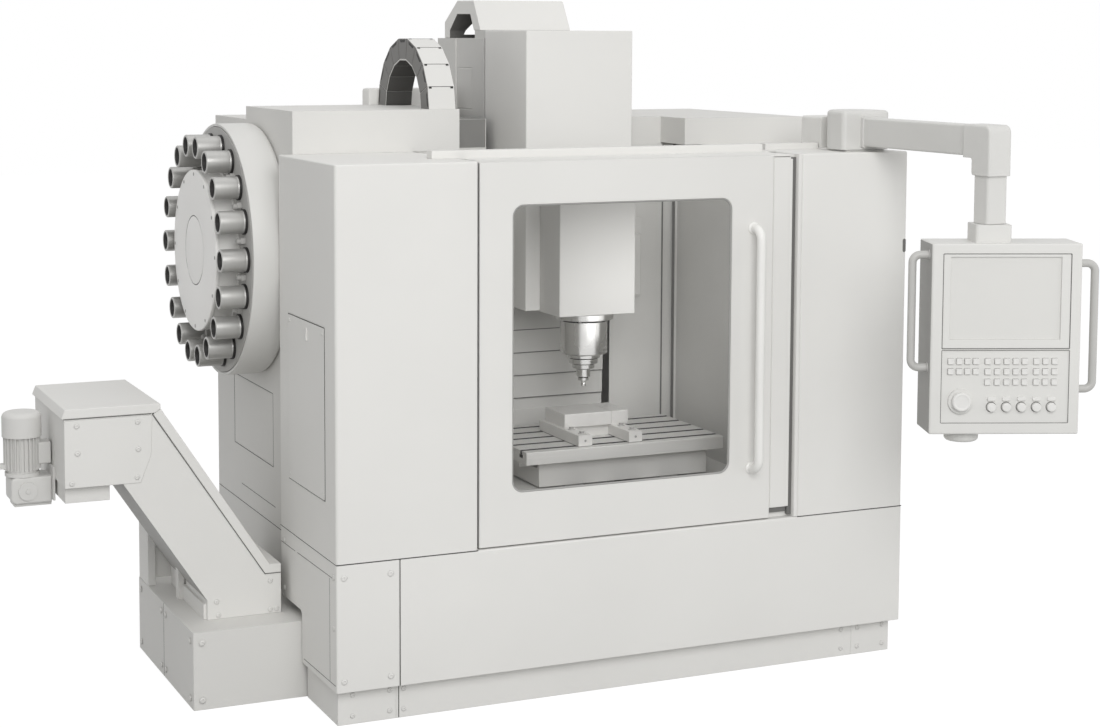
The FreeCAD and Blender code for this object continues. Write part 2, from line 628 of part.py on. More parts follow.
def door_panel():
    """The sliding door: a folded sheet skin, a ring that holds the glass, and two hanging shoes."""
    skin_back = DOOR_RECESS + DOOR_SKIN
    outer = block(DOOR_LEFT, DOOR_RIGHT, DOOR_RECESS, DOOR_BACK, DOOR_BOTTOM, DOOR_TOP)
    outer = rounded(outer, 5, Z_DIR, lambda p: p.y < DOOR_RECESS + 1)
    inner = block(DOOR_LEFT + SHEET, DOOR_RIGHT - SHEET, skin_back, DOOR_BACK + 1, DOOR_BOTTOM + SHEET,
                  DOOR_TOP - SHEET)
    ring = window_block(GLASS_MARGIN + 14, skin_back, DOOR_BACK - 6)
    ring = ring.cut(window_block(GLASS_MARGIN + SEAT_GAP, skin_back - 1, DOOR_BACK))
    shoes = []
    for x in (DOOR_LEFT + 60, DOOR_RIGHT - 60 - SHOE_LENGTH):
        hanger = block(x, x + SHOE_LENGTH, skin_back, RAIL_Y + 8, RAIL_Z - 12, RAIL_Z + RAIL_HEIGHT + 6)
        room = block(x - 1, x + SHOE_LENGTH + 1, RAIL_Y - SLIDE_CLEARANCE, RAIL_Y + 20,
                     RAIL_Z - SLIDE_CLEARANCE, RAIL_Z + RAIL_HEIGHT + SLIDE_CLEARANCE)
        shoes.append(hanger.cut(room))
    door = joined([outer.cut(inner), ring] + shoes)
    return door.cut(window_block(0, -5, skin_back + 1))


def door_glass():
    """The see-through window pane, seated behind the door's skin."""
    skin_back = DOOR_RECESS + DOOR_SKIN
    return window_block(GLASS_MARGIN, skin_back, skin_back + GLASS_THICKNESS)


def door_handle():
    """The long D handle: a bent tube on two round feet."""
    x = DOOR_RIGHT - HANDLE_INSET
    low = DOOR_BOTTOM + HANDLE_BOTTOM
    high = DOOR_TOP - HANDLE_TOP
    radius = HANDLE_TUBE / 2
    grip = bent_grip(V(x, DOOR_RECESS, low), V(x, DOOR_RECESS, high), -Y_DIR, HANDLE_STANDOFF, HANDLE_BEND, radius)
    feet = [cylinder(radius + 6, 5, V(x, DOOR_RECESS - 5, z), Y_DIR) for z in (low, high)]
    return joined([grip] + feet)


# ---------------------------------------------------------------- work chamber
def chamber_liner():
    """The lining of the work chamber, of flat sheets edge to edge, with the way cover's fixed lowest slat."""
    left, right = CHAMBER_LEFT, CHAMBER_RIGHT
    front, back = FRAME_BACK, CHAMBER_BACK
    floor, top = CHAMBER_FLOOR, CABINET_TOP - 6
    duct_room = block(left - SHEET - 1, DUCT_RIGHT, DUCT_FRONT, back + SHEET + 1, DUCT_BOTTOM, top + 1)
    head_slot = block(HEAD_SLOT_LEFT, HEAD_SLOT_RIGHT, back - 1, back + SHEET + 1, COVER_BOTTOM - 50, top + 1)
    rear_edge = back - SEAT_GAP
    left_wall = block(left - SHEET, left, front, rear_edge, floor - SHEET, top).cut(duct_room)
    right_wall = block(right, right + SHEET, front, rear_edge, floor - SHEET, top)
    back_wall = block(left - SHEET, right + SHEET, back, back + SHEET, floor - SHEET, top)
    trim = block(right - 75, right - 70, back - 4, back, floor + SEAT_GAP, top)
    corner_trim = block(right - 12, right - SEAT_GAP, back - 12, back, floor + SEAT_GAP, top)
    back_wall = joined([back_wall.cut(head_slot).cut(duct_room), trim, corner_trim])
    floor_sheet = block(left + SEAT_GAP, right - SEAT_GAP, front, rear_edge, floor - SHEET, floor)
    for x in y_rail_places():
        floor_sheet = floor_sheet.cut(block(x - 50, x + 50, 160, 952, floor - SHEET - 1, floor + 1))
    nut_slot = block(Y_SCREW_X - 62, Y_SCREW_X + 62, 160, 952, floor - SHEET - 1, floor + 1)
    slat_front = cover_front(COVER_PLATES)
    slat = block(COVER_LEFT, COVER_RIGHT, slat_front, slat_front + COVER_SHEET, floor + SEAT_GAP,
                 COVER_BOTTOM + COVER_OVERLAP)
    return Part.makeCompound([left_wall, right_wall, back_wall, floor_sheet.cut(nut_slot), slat])


def cover_front(index):
    """The front face of one slat: each lower slat lies a step further back."""
    return CHAMBER_BACK - 10 + index * COVER_STEP - COVER_STEP * COVER_PLATES / 2


def way_cover(index):
    """One sliding slat of the telescopic cover in front of the Z rails. Slat 0 is the highest."""
    bottom = COVER_BOTTOM + (COVER_PLATES - index - 1) * COVER_PITCH
    front = cover_front(index)
    extra = 60 if index == 0 else 0
    top = bottom + COVER_PITCH + COVER_OVERLAP + extra
    plate = block(COVER_LEFT, COVER_RIGHT, front, front + COVER_SHEET, bottom, top)
    lip = block(COVER_LEFT, COVER_RIGHT, front + COVER_SHEET, front + COVER_STEP - SLIDE_CLEARANCE, bottom,
                bottom + 2)
    back_lip = block(COVER_LEFT, COVER_RIGHT, front - COVER_STEP + COVER_SHEET + SLIDE_CLEARANCE, front,
                     top - 2, top)
    pieces = [plate, lip]
    if index > 0:
        pieces.append(back_lip)
    return joined(pieces)


def work_lamp():
    """The slim work lamp on the chamber's back wall: a channel with a rounded lens."""
    holder = block(1668, 1760, CHAMBER_BACK - 12, CHAMBER_BACK, 1420, 1770)
    lens = block(1676, 1752, CHAMBER_BACK - 34, CHAMBER_BACK - 12, 1430, 1700)
    lens = rounded(lens, 10, Z_DIR, lambda p: p.y < CHAMBER_BACK - 33)
    return joined([holder, lens])


# ---------------------------------------------------------------- saddle and table
def saddle():
    """The saddle casting: feet on the Y rails, a nut round the Y screw, blocks for the X rails on top."""
    body = block(SADDLE_LEFT, SADDLE_RIGHT, SADDLE_FRONT, SADDLE_BACK, SADDLE_BOTTOM, SADDLE_TOP)
    aprons = [block(SADDLE_LEFT, SADDLE_RIGHT, y, y + 18, SADDLE_TOP, TABLE_BOTTOM - 1)
              for y in (SADDLE_FRONT, SADDLE_BACK - 18)]
    pieces = [body] + aprons
    for x in y_rail_places():
        half = GUIDE_RAIL_WIDTH / 2 + SLIDE_CLEARANCE
        foot = block(x - 42, x + 42, SADDLE_FRONT + 20, SADDLE_BACK - 20, RAIL_SEAT + 12, SADDLE_BOTTOM)
        room = block(x - half, x + half, SADDLE_FRONT, SADDLE_BACK, RAIL_SEAT, RAIL_SEAT + GUIDE_RAIL_HEIGHT
                     + SLIDE_CLEARANCE)
        pieces.append(foot.cut(room))
    nut = block(Y_SCREW_X - 45, Y_SCREW_X + 45, 580, 700, Y_SCREW_Z - 42, SADDLE_BOTTOM)
    nut_bore = cylinder(SCREW_DIAMETER / 2 + SCREW_CLEARANCE, 200, V(Y_SCREW_X, 540, Y_SCREW_Z), Y_DIR)
    pieces.append(nut.cut(nut_bore))
    for y in X_RAIL_PLACES:
        for x in X_BLOCKS:
            for side in (-1, 1):
                inner = y + side * GUIDE_RAIL_WIDTH / 2
                outer = y + side * (GUIDE_RAIL_WIDTH / 2 + 24)
                pieces.append(block(x, x + X_BLOCK_LENGTH, min(inner, outer), max(inner, outer), SADDLE_TOP,
                                    TABLE_BOTTOM - 16))
    shape = joined(pieces)
    trough = block(SADDLE_LEFT + 10, SADDLE_RIGHT - 8, TROUGH_FRONT, TROUGH_BACK, TROUGH_FLOOR, SADDLE_TOP + 1)
    shape = shape.cut(trough)
    bearings = []
    for x in x_bearing_places():
        plate = block(x, x + X_BEARING, TROUGH_FRONT, TROUGH_BACK, TROUGH_FLOOR, SADDLE_TOP)
        bore = cylinder(SCREW_DIAMETER / 2 - JOURNAL_STEP + SCREW_CLEARANCE, X_BEARING + 2,
                        V(x - 1, X_SCREW_Y, X_SCREW_Z), X_DIR)
        bearings.append(plate.cut(bore))
    return joined([shape] + bearings)


def x_bearing_places():
    """The X places of the two bearing plates of the X screw."""
    return (SADDLE_LEFT + 20, SADDLE_RIGHT - 12 - X_MOTOR_LENGTH - X_BEARING - 14)


def x_rails():
    """Two guide rails under the table, which run through the saddle's blocks."""
    rails = []
    for y in X_RAIL_PLACES:
        height = TABLE_BOTTOM - SADDLE_TOP - SLIDE_CLEARANCE
        half = GUIDE_RAIL_WIDTH / 2
        rails.append(block(TABLE_LEFT + 18, TABLE_LEFT + TABLE_LENGTH - 18, y - half + 0.5, y + half - 0.5,
                           TABLE_BOTTOM - height, TABLE_BOTTOM))
    return Part.makeCompound(rails)


def table():
    """The T-slotted table with the nut bracket of the X screw under it."""
    right = TABLE_LEFT + TABLE_LENGTH
    plate = block(TABLE_LEFT, right, TABLE_FRONT, TABLE_BACK, TABLE_BOTTOM, TABLE_TOP)
    plate = rounded(plate, 3, X_DIR, lambda p: p.z > TABLE_TOP - 1)
    pitch = (TABLE_BACK - TABLE_FRONT) / TSLOT_COUNT
    for index in range(TSLOT_COUNT):
        y = TABLE_FRONT + pitch * (index + 0.5)
        neck = block(TABLE_LEFT - 1, right + 1, y - TSLOT_WIDTH / 2, y + TSLOT_WIDTH / 2, TABLE_TOP - TSLOT_NECK,
                     TABLE_TOP + 1)
        foot = block(TABLE_LEFT - 1, right + 1, y - TSLOT_FOOT / 2, y + TSLOT_FOOT / 2,
                     TABLE_TOP - TSLOT_NECK - TSLOT_FOOT_HEIGHT, TABLE_TOP - TSLOT_NECK)
        plate = plate.cut(neck).cut(foot)
    nut = block(NUT_LEFT, NUT_LEFT + NUT_LENGTH, X_SCREW_Y - 40, X_SCREW_Y + 40, X_SCREW_Z - 32, TABLE_BOTTOM)
    nut = nut.cut(cylinder(SCREW_DIAMETER / 2 + SCREW_CLEARANCE, NUT_LENGTH + 10,
                           V(NUT_LEFT - 5, X_SCREW_Y, X_SCREW_Z), X_DIR))
    return joined([plate, nut])


def workpiece():
    """The billet on the table, with the joint line across its right third."""
    bottom = TABLE_TOP + RISER_HEIGHT
    shape = block(1184, 1478, 550, 741, bottom, bottom + 56)
    shape = shape.makeChamfer(2, edges_along(shape, X_DIR, lambda p: p.z > bottom + 55))
    groove = block(1399, 1401.5, 549, 742, bottom + 2, bottom + 57)
    groove = groove.cut(block(1390, 1410, 552.5, 738.5, bottom, bottom + 53.5))
    return shape.cut(groove)


def work_clamps():
    """Two riser bars bolted to the table, and the spacer between them under the billet."""
    solids = []
    for x0, x1, y1 in ((1166, 1228, 762), (1396, 1456, 762)):
        riser = block(x0, x1, 378, y1, TABLE_TOP, TABLE_TOP + RISER_HEIGHT)
        riser = riser.makeChamfer(2, edges_along(riser, Y_DIR, lambda p: p.z > TABLE_TOP + 40))
        middle = (x0 + x1) / 2
        dimple = cylinder(5, 6, V(middle, 374, TABLE_TOP + RISER_HEIGHT / 2), Y_DIR)
        riser = riser.cut(dimple)
        for y in (412, 512):
            washer = cylinder(15, 3, V(middle, y, TABLE_TOP + RISER_HEIGHT), Z_DIR)
            nut = cylinder(10, 9, V(middle, y, TABLE_TOP + RISER_HEIGHT + 3), Z_DIR)
            riser = riser.fuse([washer, nut])
        solids.append(riser.removeSplitter())
    spacer = block(1228, 1396, 572, 720, TABLE_TOP, TABLE_TOP + RISER_HEIGHT - 4)
    solids.append(spacer)
    return joined(solids)


# ---------------------------------------------------------------- column, Z drive and head
def column():
    """The cast column: a hollow box with a cable duct behind, screw brackets and a cap ledge."""
    middle = COLUMN_FRONT + COLUMN_DEPTH
    body = block(COLUMN_LEFT, COLUMN_RIGHT, COLUMN_FRONT, middle, BED_TOP, COLUMN_TOP)
    core = block(COLUMN_LEFT + COLUMN_WALL, COLUMN_RIGHT - COLUMN_WALL, COLUMN_FRONT + COLUMN_WALL,
                 middle - COLUMN_WALL, BED_TOP + COLUMN_WALL, COLUMN_TOP - COLUMN_WALL)
    duct = block(COLUMN_LEFT - 8, COLUMN_RIGHT + 8, middle, COLUMN_BACK, BED_TOP, COLUMN_TOP)
    duct_core = block(COLUMN_LEFT + 10, COLUMN_RIGHT - 10, middle + 20, COLUMN_BACK - 18, BED_TOP + 18,
                      COLUMN_TOP - 18)
    ledge = block(COLUMN_LEFT + 6, COLUMN_RIGHT - 6, COLUMN_FRONT, COLUMN_FRONT + 118, COLUMN_TOP,
                  COLUMN_TOP + 34)
    pieces = [body.cut(core), duct.cut(duct_core), ledge]
    for z in (Z_SCREW_BOTTOM, Z_SCREW_TOP - Z_BRACKET):
        bracket = block(SPINDLE_X - 55, SPINDLE_X + 55, Z_SCREW_Y - Z_BRACKET_REACH, COLUMN_FRONT,
                        z, z + Z_BRACKET)
        bore = cylinder(SCREW_DIAMETER / 2 - JOURNAL_STEP + SCREW_CLEARANCE, Z_BRACKET + 2,
                        V(SPINDLE_X, Z_SCREW_Y, z - 1), Z_DIR)
        pieces.append(bracket.cut(bore))
    shape = joined(pieces)
    plate_back = block(COLUMN_LEFT - 1, COLUMN_LEFT + 1.5, 1240, 1412, 2244, 2430)
    plate_front = block(COLUMN_LEFT - 1, COLUMN_LEFT + 2, 1246, 1406, 2250, 2424)
    return shape.cut(plate_back.cut(plate_front))


def column_hood():
    """The faceted cable hood on the column's top: a thick arch with a tapered window in its rear leg."""
    foot = COLUMN_TOP + 34
    outer = [(1186, foot), (1266, 2722), (1453, 2724), (1604, 2630), (1604, COLUMN_TOP), (1542, COLUMN_TOP),
             (1542, 2592), (1454, 2664), (1304, 2662), (1262, foot)]
    arch = prism_x(outer, HOOD_LEFT, HOOD_LEFT + HOOD_WIDTH)
    window = [(HOOD_LEFT + 70, 2574), (HOOD_LEFT + 96, 2624), (HOOD_LEFT + HOOD_WIDTH - 96, 2624),
              (HOOD_LEFT + HOOD_WIDTH - 70, 2574)]
    return arch.cut(prism_y(window, 1500, 1620))


def z_rails():
    """Two guide rails on the column's front."""
    rails = []
    for x in Z_RAIL_PLACES:
        half = GUIDE_RAIL_WIDTH / 2
        front = COLUMN_FRONT - Z_RAIL_DEPTH
        rails.append(block(x - half, x + half, front, COLUMN_FRONT, Z_RAIL_BOTTOM, Z_RAIL_TOP))
    return Part.makeCompound(rails)


def head_casing():
    """The tall sheet casing of the head, open at the bottom and the back."""
    back = HEAD_BACK
    outer = block(HEAD_LEFT, HEAD_RIGHT, HEAD_FRONT, back, HEAD_BOTTOM, HEAD_TOP)
    outer = rounded(outer, 6, Z_DIR, lambda p: p.y < HEAD_FRONT + 1)
    outer = rounded(outer, 4, X_DIR, lambda p: p.z > HEAD_TOP - 1 and p.y < HEAD_FRONT + 1)
    wall = 4.0
    inner = block(HEAD_LEFT + wall, HEAD_RIGHT - wall, HEAD_FRONT + wall, back + 1, HEAD_BOTTOM - 1,
                  HEAD_TOP - wall)
    casing = outer.cut(inner)
    slat_room = block(HEAD_LEFT - 1, HEAD_RIGHT + 1, cover_front(0) - 8, back + 1, HEAD_BOTTOM - 1,
                      GUIDE_BLOCKS_Z[0] - 6)
    spindle_room = block(SPINDLE_BOX_LEFT, SPINDLE_BOX_RIGHT, HEAD_FRONT - 1, HEAD_FRONT + wall + 1,
                         HEAD_BOTTOM - 1, HEAD_BOTTOM - 5 + SPINDLE_BOX_HEIGHT)
    return casing.cut(slat_room).cut(spindle_room)


def head_casting():
    """The head casting: spindle box in front, slide body behind, four guide blocks and the Z nut."""
    bottom = HEAD_BOTTOM - 5
    top = bottom + SPINDLE_BOX_HEIGHT
    spindle_box = block(SPINDLE_BOX_LEFT, SPINDLE_BOX_RIGHT, SPINDLE_BOX_FRONT, SPINDLE_BOX_BACK, bottom, top)
    spindle_box = rounded(spindle_box, 5, Z_DIR, lambda p: p.y < SPINDLE_BOX_FRONT + 1)
    web_back = COLUMN_FRONT - WEB_OFFSET
    web = block(SPINDLE_BOX_LEFT + 6, SPINDLE_BOX_RIGHT - 6, SPINDLE_BOX_BACK, web_back,
                GUIDE_BLOCKS_Z[0], top + 20)
    hollow = block(SPINDLE_BOX_LEFT + 40, SPINDLE_BOX_RIGHT - 40, SPINDLE_BOX_BACK + 20, web_back - 30,
                   GUIDE_BLOCKS_Z[0] - 1, top - 20)
    pieces = [spindle_box, web.cut(hollow)]
    half = GUIDE_RAIL_WIDTH / 2 + SLIDE_CLEARANCE
    for x in Z_RAIL_PLACES:
        for z in GUIDE_BLOCKS_Z:
            carriage = block(x - GUIDE_BLOCK_HALF, x + GUIDE_BLOCK_HALF, web_back, COLUMN_FRONT - 6, z,
                             z + GUIDE_BLOCK_LENGTH)
            room = block(x - half, x + half, COLUMN_FRONT - Z_RAIL_DEPTH - SLIDE_CLEARANCE, COLUMN_FRONT, z - 1,
                         z + GUIDE_BLOCK_LENGTH + 1)
            pieces.append(carriage.cut(room))
    nut = block(SPINDLE_X - 38, SPINDLE_X + 38, web_back, COLUMN_FRONT - 8, 1700, 1780)
    nut_bore = cylinder(SCREW_DIAMETER / 2 + SCREW_CLEARANCE, 82, V(SPINDLE_X, Z_SCREW_Y, 1699), Z_DIR)
    pieces.append(nut.cut(nut_bore))
    shape = joined(pieces)
    shaft_room = cylinder(SHAFT_R + SCREW_CLEARANCE, 190, V(SPINDLE_X, SPINDLE_Y, bottom - 1), Z_DIR)
    return shape.cut(shaft_room)


def spindle_sleeve():
    """The fixed spindle cartridge: a bolted flange and a polished barrel."""
    top = HEAD_BOTTOM - 5
    flange_low = top - FLANGE_THICKNESS
    bore = SHAFT_R + SCREW_CLEARANCE
    profile = [(bore, SLEEVE_BOTTOM), (SLEEVE_R - 6, SLEEVE_BOTTOM), (SLEEVE_R, SLEEVE_BOTTOM + 10),
               (SLEEVE_R, flange_low), (SLEEVE_FLANGE_R, flange_low), (SLEEVE_FLANGE_R, top - 4),
               (SLEEVE_FLANGE_R - 4, top), (bore, top)]
    return turned(profile, SPINDLE_X, SPINDLE_Y)


def spindle_shaft():
    """The turning spindle: its shaft in the sleeve and the stepped nose under it."""
    top = HEAD_BOTTOM + 180
    nose = SLEEVE_BOTTOM - SEAT_GAP - 0.2
    low = nose - 42
    taper_r = 34.0
    profile = [(taper_r - 8, low + 60), (taper_r, low), (55, low), (58, low + 6), (61, low + 8), (61, low + 28),
               (69, low + 30), (69, nose), (SHAFT_R, nose), (SHAFT_R, top), (0, top), (0, low + 60)]
    return turned(profile, SPINDLE_X, SPINDLE_Y)


def tool_holder():
    """The tool holder in the spindle's taper, with its gripper groove, collet nut and cutter."""
    seat = SLEEVE_BOTTOM - SEAT_GAP - 42.2
    profile = [(0, seat + 58), (25.5, seat + 58), (33.5, seat), (48, seat), (48, seat - 6), (43, seat - 9),
               (43, seat - 13), (48, seat - 16), (48, seat - 21), (31, seat - 23), (31, seat - 47),
               (27, seat - 50),
               (23, seat - 52), (23, seat - 72), (20, seat - 75), (12.5, seat - 75), (12.5, TOOL_TIP + 2),
               (10.5, TOOL_TIP), (0, TOOL_TIP)]
    return turned(profile, SPINDLE_X, SPINDLE_Y)


# ---------------------------------------------------------------- rear housing and cable chain
def housing_bays(inset):
    """The blocks that make up the rear housing, each pulled in by a wall's thickness."""
    low = HOUSING_BOTTOM - (1 if inset else 0)
    top = HOUSING_TOP - inset
    back = MACHINE_DEPTH - inset
    chamber_back = CHAMBER_BACK + SHEET
    return [block(HOUSING_LEFT + inset, LEFT_CABINET_WIDTH - inset, HOUSING_FRONT + inset, back, low, top),
            block(HOUSING_LEFT + inset, HOUSING_RIGHT - inset, chamber_back + inset, back, low, top),
            block(CHAMBER_RIGHT + SHEET + inset, HOUSING_RIGHT - inset, HOUSING_FRONT + inset, back, low,
                  CABINET_TOP - inset),
            block(RIGHT_BAY_LEFT + inset, HOUSING_RIGHT - inset, RIGHT_BAY_FRONT + inset, back,
                  CABINET_TOP if inset == 0 else CABINET_TOP - inset - 1, top),
            block(HOUSING_LEFT + inset, TRAY_RIGHT - inset, TRAY_FRONT + inset, TRAY_BACK - inset,
                  CABINET_TOP + inset, TRAY_TOP - inset),
            block(DUCT_LEFT + inset, DUCT_RIGHT - inset, DUCT_FRONT + inset, chamber_back + 2 * inset,
                  DUCT_BOTTOM + inset, top)]


def rear_housing():
    """The rear sheet housing round the column: three bays, the chain's tray and duct, the service door."""
    shell = joined(housing_bays(0)).cut(joined(housing_bays(SHEET)))
    front_room = block(CHAMBER_LEFT - 20, CHAMBER_RIGHT + SHEET, CHAMBER_BACK, CHAMBER_BACK + 2 * SHEET + 1,
                       HOUSING_BOTTOM - 1, DUCT_BOTTOM)
    head_room = block(HEAD_SLOT_LEFT, HEAD_SLOT_RIGHT, CHAMBER_BACK - 1, COLUMN_BACK + 12, DUCT_BOTTOM,
                      HOUSING_TOP + 1)
    bed_room = block(BED_LEFT - SEAT_GAP, BED_RIGHT + SEAT_GAP, BED_FRONT, BED_BACK + SEAT_GAP, 0,
                     BED_TOP + SEAT_GAP)
    shell = shell.cut(front_room).cut(head_room).cut(bed_room)
    slot_near = CHAIN_OUTER_R - CHAIN_HEIGHT - BEND_RELIEF
    slot_far = CHAIN_OUTER_R + LINK_GAP
    for y0, y1 in ((CHAIN_Y - slot_far, CHAIN_Y - slot_near), (CHAIN_Y + slot_near, CHAIN_Y + slot_far)):
        shell = shell.cut(block(CHAIN_LEFT - LINK_GAP, CHAIN_LEFT + CHAIN_WIDTH + LINK_GAP, y0, y1,
                                TRAY_TOP - SHEET - 1, TRAY_TOP + 1))
    return joined([shell.cut(rear_grooves()), rear_service_door()])


def rear_grooves():
    """The seams of the left rear side: the belt line, and the outline of the service panel."""
    x0 = HOUSING_LEFT - 1
    x1 = HOUSING_LEFT + 1.2
    belt_line = block(x0, x1, CABINET_DEPTH, MACHINE_DEPTH + 1, 551, 554)
    upper_line = block(x0, x1, 955, 1450, 629, 631)
    outline = block(x0, x1, 978, 1552, 794, 1100).cut(block(x0, x1, 981, 1549, 797, 1097))
    back_outline = block(300, 940, MACHINE_DEPTH - 1.2, MACHINE_DEPTH + 1, 700, 1900)
    back_outline = back_outline.cut(block(303, 937, MACHINE_DEPTH - 2, MACHINE_DEPTH + 2, 703, 1897))
    return Part.makeCompound([belt_line, upper_line, outline, back_outline])


def rear_service_door():
    """The screwed plate over the drive cabinet on the machine's back, with its latch and louvres."""
    plate = block(1650, 2330, MACHINE_DEPTH, MACHINE_DEPTH + 3, 620, 1900)
    plate = rounded(plate, 10, Y_DIR)
    latch = block(1672, 1690, MACHINE_DEPTH + 3, MACHINE_DEPTH + 10, 1210, 1290)
    pieces = [plate, latch]
    for index in range(8):
        z = 1640 + index * 26
        slat = [(MACHINE_DEPTH + 3, z), (MACHINE_DEPTH + 10, z), (MACHINE_DEPTH + 3, z + 14)]
        louvre = prism_x(slat, 1760, 2220)
        pieces.append(louvre)
    return joined(pieces)


def chain_link(index):
    """One link of the bend: a wedge-shaped frame, hollow along the chain, turned to its place."""
    half = math.radians(LINK_ANGLE / 2)
    outer = CHAIN_OUTER_R
    inner = CHAIN_OUTER_R - CHAIN_HEIGHT
    gap = LINK_GAP / 2
    reach_out = outer * math.sin(half) - gap
    reach_in = inner * math.sin(half) - gap
    high = outer * math.cos(half)
    low = inner * math.cos(half)
    profile = [(-reach_in, low), (-reach_out, high), (reach_out, high), (reach_in, low)]
    link = prism_x(profile, CHAIN_LEFT, CHAIN_LEFT + CHAIN_WIDTH)
    passage = block(CHAIN_LEFT + LINK_WALL, CHAIN_LEFT + CHAIN_WIDTH - LINK_WALL, -outer, outer, low + LINK_WALL,
                    high - LINK_WALL)
    link = link.cut(passage)
    link.rotate(V(0, 0, 0), X_DIR, index * LINK_ANGLE)
    return link


def leg_link(y0, z0, length):
    """One straight link of a leg, hollow along the chain."""
    link = block(CHAIN_LEFT, CHAIN_LEFT + CHAIN_WIDTH, y0, y0 + CHAIN_HEIGHT, z0 + LINK_GAP, z0 + length)
    passage = block(CHAIN_LEFT + LINK_WALL, CHAIN_LEFT + CHAIN_WIDTH - LINK_WALL, y0 + LINK_WALL,
                    y0 + CHAIN_HEIGHT - LINK_WALL, z0 - 1, z0 + length + 1)
    return link.cut(passage)


def cable_chain():
    """The energy chain's bend and its two legs, each link a frame of its own."""
    centre = V(0, CHAIN_Y, CHAIN_TOP - CHAIN_OUTER_R * math.cos(math.radians(LINK_ANGLE / 2)))
    count = int(round(180 / LINK_ANGLE))
    pitch = (CHAIN_OUTER_R - CHAIN_HEIGHT / 2) * math.radians(LINK_ANGLE)
    links = []
    for step in range(count):
        link = chain_link(step - (count - 1) / 2)
        link.translate(centre)
        links.append(link)
    for y0 in (CHAIN_Y - CHAIN_OUTER_R, CHAIN_Y + CHAIN_OUTER_R - CHAIN_HEIGHT):
        for step in range(LEG_LINKS):
            links.append(leg_link(y0, centre.z - (step + 1) * pitch, pitch))
    return Part.makeCompound(links)


# ---------------------------------------------------------------- tool magazine
def magazine_housing():
    """The drum-shaped magazine housing: a rim with a rounded back edge, a back plate and the axle."""
    centre = V(DRUM_FRONT, DRUM_Y, DRUM_Z)
    rim = cylinder(DRUM_R, DRUM_WIDTH, centre, X_DIR)
    back_edge = [edge for edge in rim.Edges if edge.CenterOfMass.x > HOUSING_LEFT - 1 and edge.isClosed()]
    rim = rim.makeFillet(26, back_edge)
    recess = cylinder(DRUM_R - DRUM_WALL, DRUM_WIDTH - DRUM_BACK_RING, centre - X_DIR, X_DIR)
    deep_recess = cylinder(DRUM_R - 40, DRUM_WIDTH - DRUM_BACK_SHEET, centre, X_DIR)
    axle = cylinder(AXLE_R, DRUM_WIDTH + AXLE_REACH, centre - X_DIR * AXLE_REACH, X_DIR)
    return joined([rim.cut(recess).cut(deep_recess), axle])


def tool_pot(y, z):
    """One tool pot: a socket with a lead-in at its mouth and a collar at its foot."""
    mouth = V(PLATE_FRONT - POT_LENGTH, y, z)
    pot = cylinder(POT_R, POT_LENGTH, mouth, X_DIR)
    collar = cylinder(POT_R + POT_COLLAR, 10, V(PLATE_FRONT - 10, y, z), X_DIR)
    bore = cylinder(POT_BORE_R, POT_BORE_DEPTH, mouth, X_DIR)
    lead = Part.makeCone(POT_BORE_R + 5, POT_BORE_R, 8, mouth, X_DIR)
    return joined([pot, collar]).cut(bore).cut(lead)


def grip_block(turn):
    """One grip block between two pots, at an angle round the carousel."""
    grip = block(PLATE_FRONT - 34, PLATE_FRONT, -14, 14, POT_CIRCLE_R - 58, POT_CIRCLE_R - 8)
    grip.rotate(V(0, 0, 0), X_DIR, turn)
    grip.translate(V(0, DRUM_Y, DRUM_Z))
    return grip


def carousel():
    """The turning carousel: a plate and hub with grip blocks, and the tool pots standing on the plate."""
    centre = V(PLATE_FRONT, DRUM_Y, DRUM_Z)
    plate = cylinder(DRUM_R - DRUM_WALL - 5, CAROUSEL_PLATE, centre, X_DIR)
    hub = cylinder(HUB_R - 4, HUB_LENGTH, centre - X_DIR * HUB_LENGTH, X_DIR)
    hub_room = cylinder(HUB_R - 20, HUB_LENGTH - 12, centre - X_DIR * (HUB_LENGTH + 1), X_DIR)
    boss = cylinder(AXLE_R + 30, HUB_LENGTH - 10, centre - X_DIR * (HUB_LENGTH - 10), X_DIR)
    step = 360 / POT_COUNT
    grips = [grip_block((index + 0.5) * step - 90) for index in range(POT_COUNT)]
    axle_bore = cylinder(AXLE_R + SCREW_CLEARANCE, 2 * POT_LENGTH, centre - X_DIR * POT_LENGTH, X_DIR)
    wheel = joined([plate, hub.cut(hub_room), boss] + grips).cut(axle_bore)
    pots = []
    for index in range(POT_COUNT):
        angle = math.radians(index * step)
        pots.append(tool_pot(DRUM_Y + POT_CIRCLE_R * math.cos(angle), DRUM_Z + POT_CIRCLE_R * math.sin(angle)))
    return Part.makeCompound([wheel] + pots)


def carousel_cover():
    """The round cover in front of the hub, with a raised rim line and a centre cap."""
    front = PLATE_FRONT - HUB_LENGTH - COVER_DISC
    disc = cylinder(HUB_R, COVER_DISC, V(front, DRUM_Y, DRUM_Z), X_DIR)
    disc = disc.makeChamfer(3, [e for e in disc.Edges if e.isClosed() and e.CenterOfMass.x < front + 1])
    groove = tube(144, 141, 1.5, V(front, DRUM_Y, DRUM_Z), X_DIR)
    screws = []
    for index in range(12):
        angle = 2 * math.pi * index / 12
        y = DRUM_Y + (HUB_R - 18) * math.cos(angle)
        z = DRUM_Z + (HUB_R - 18) * math.sin(angle)
        screws.append(cylinder(5, 2, V(front - 1.5, y, z), X_DIR))
    return joined([disc.cut(groove)] + screws)


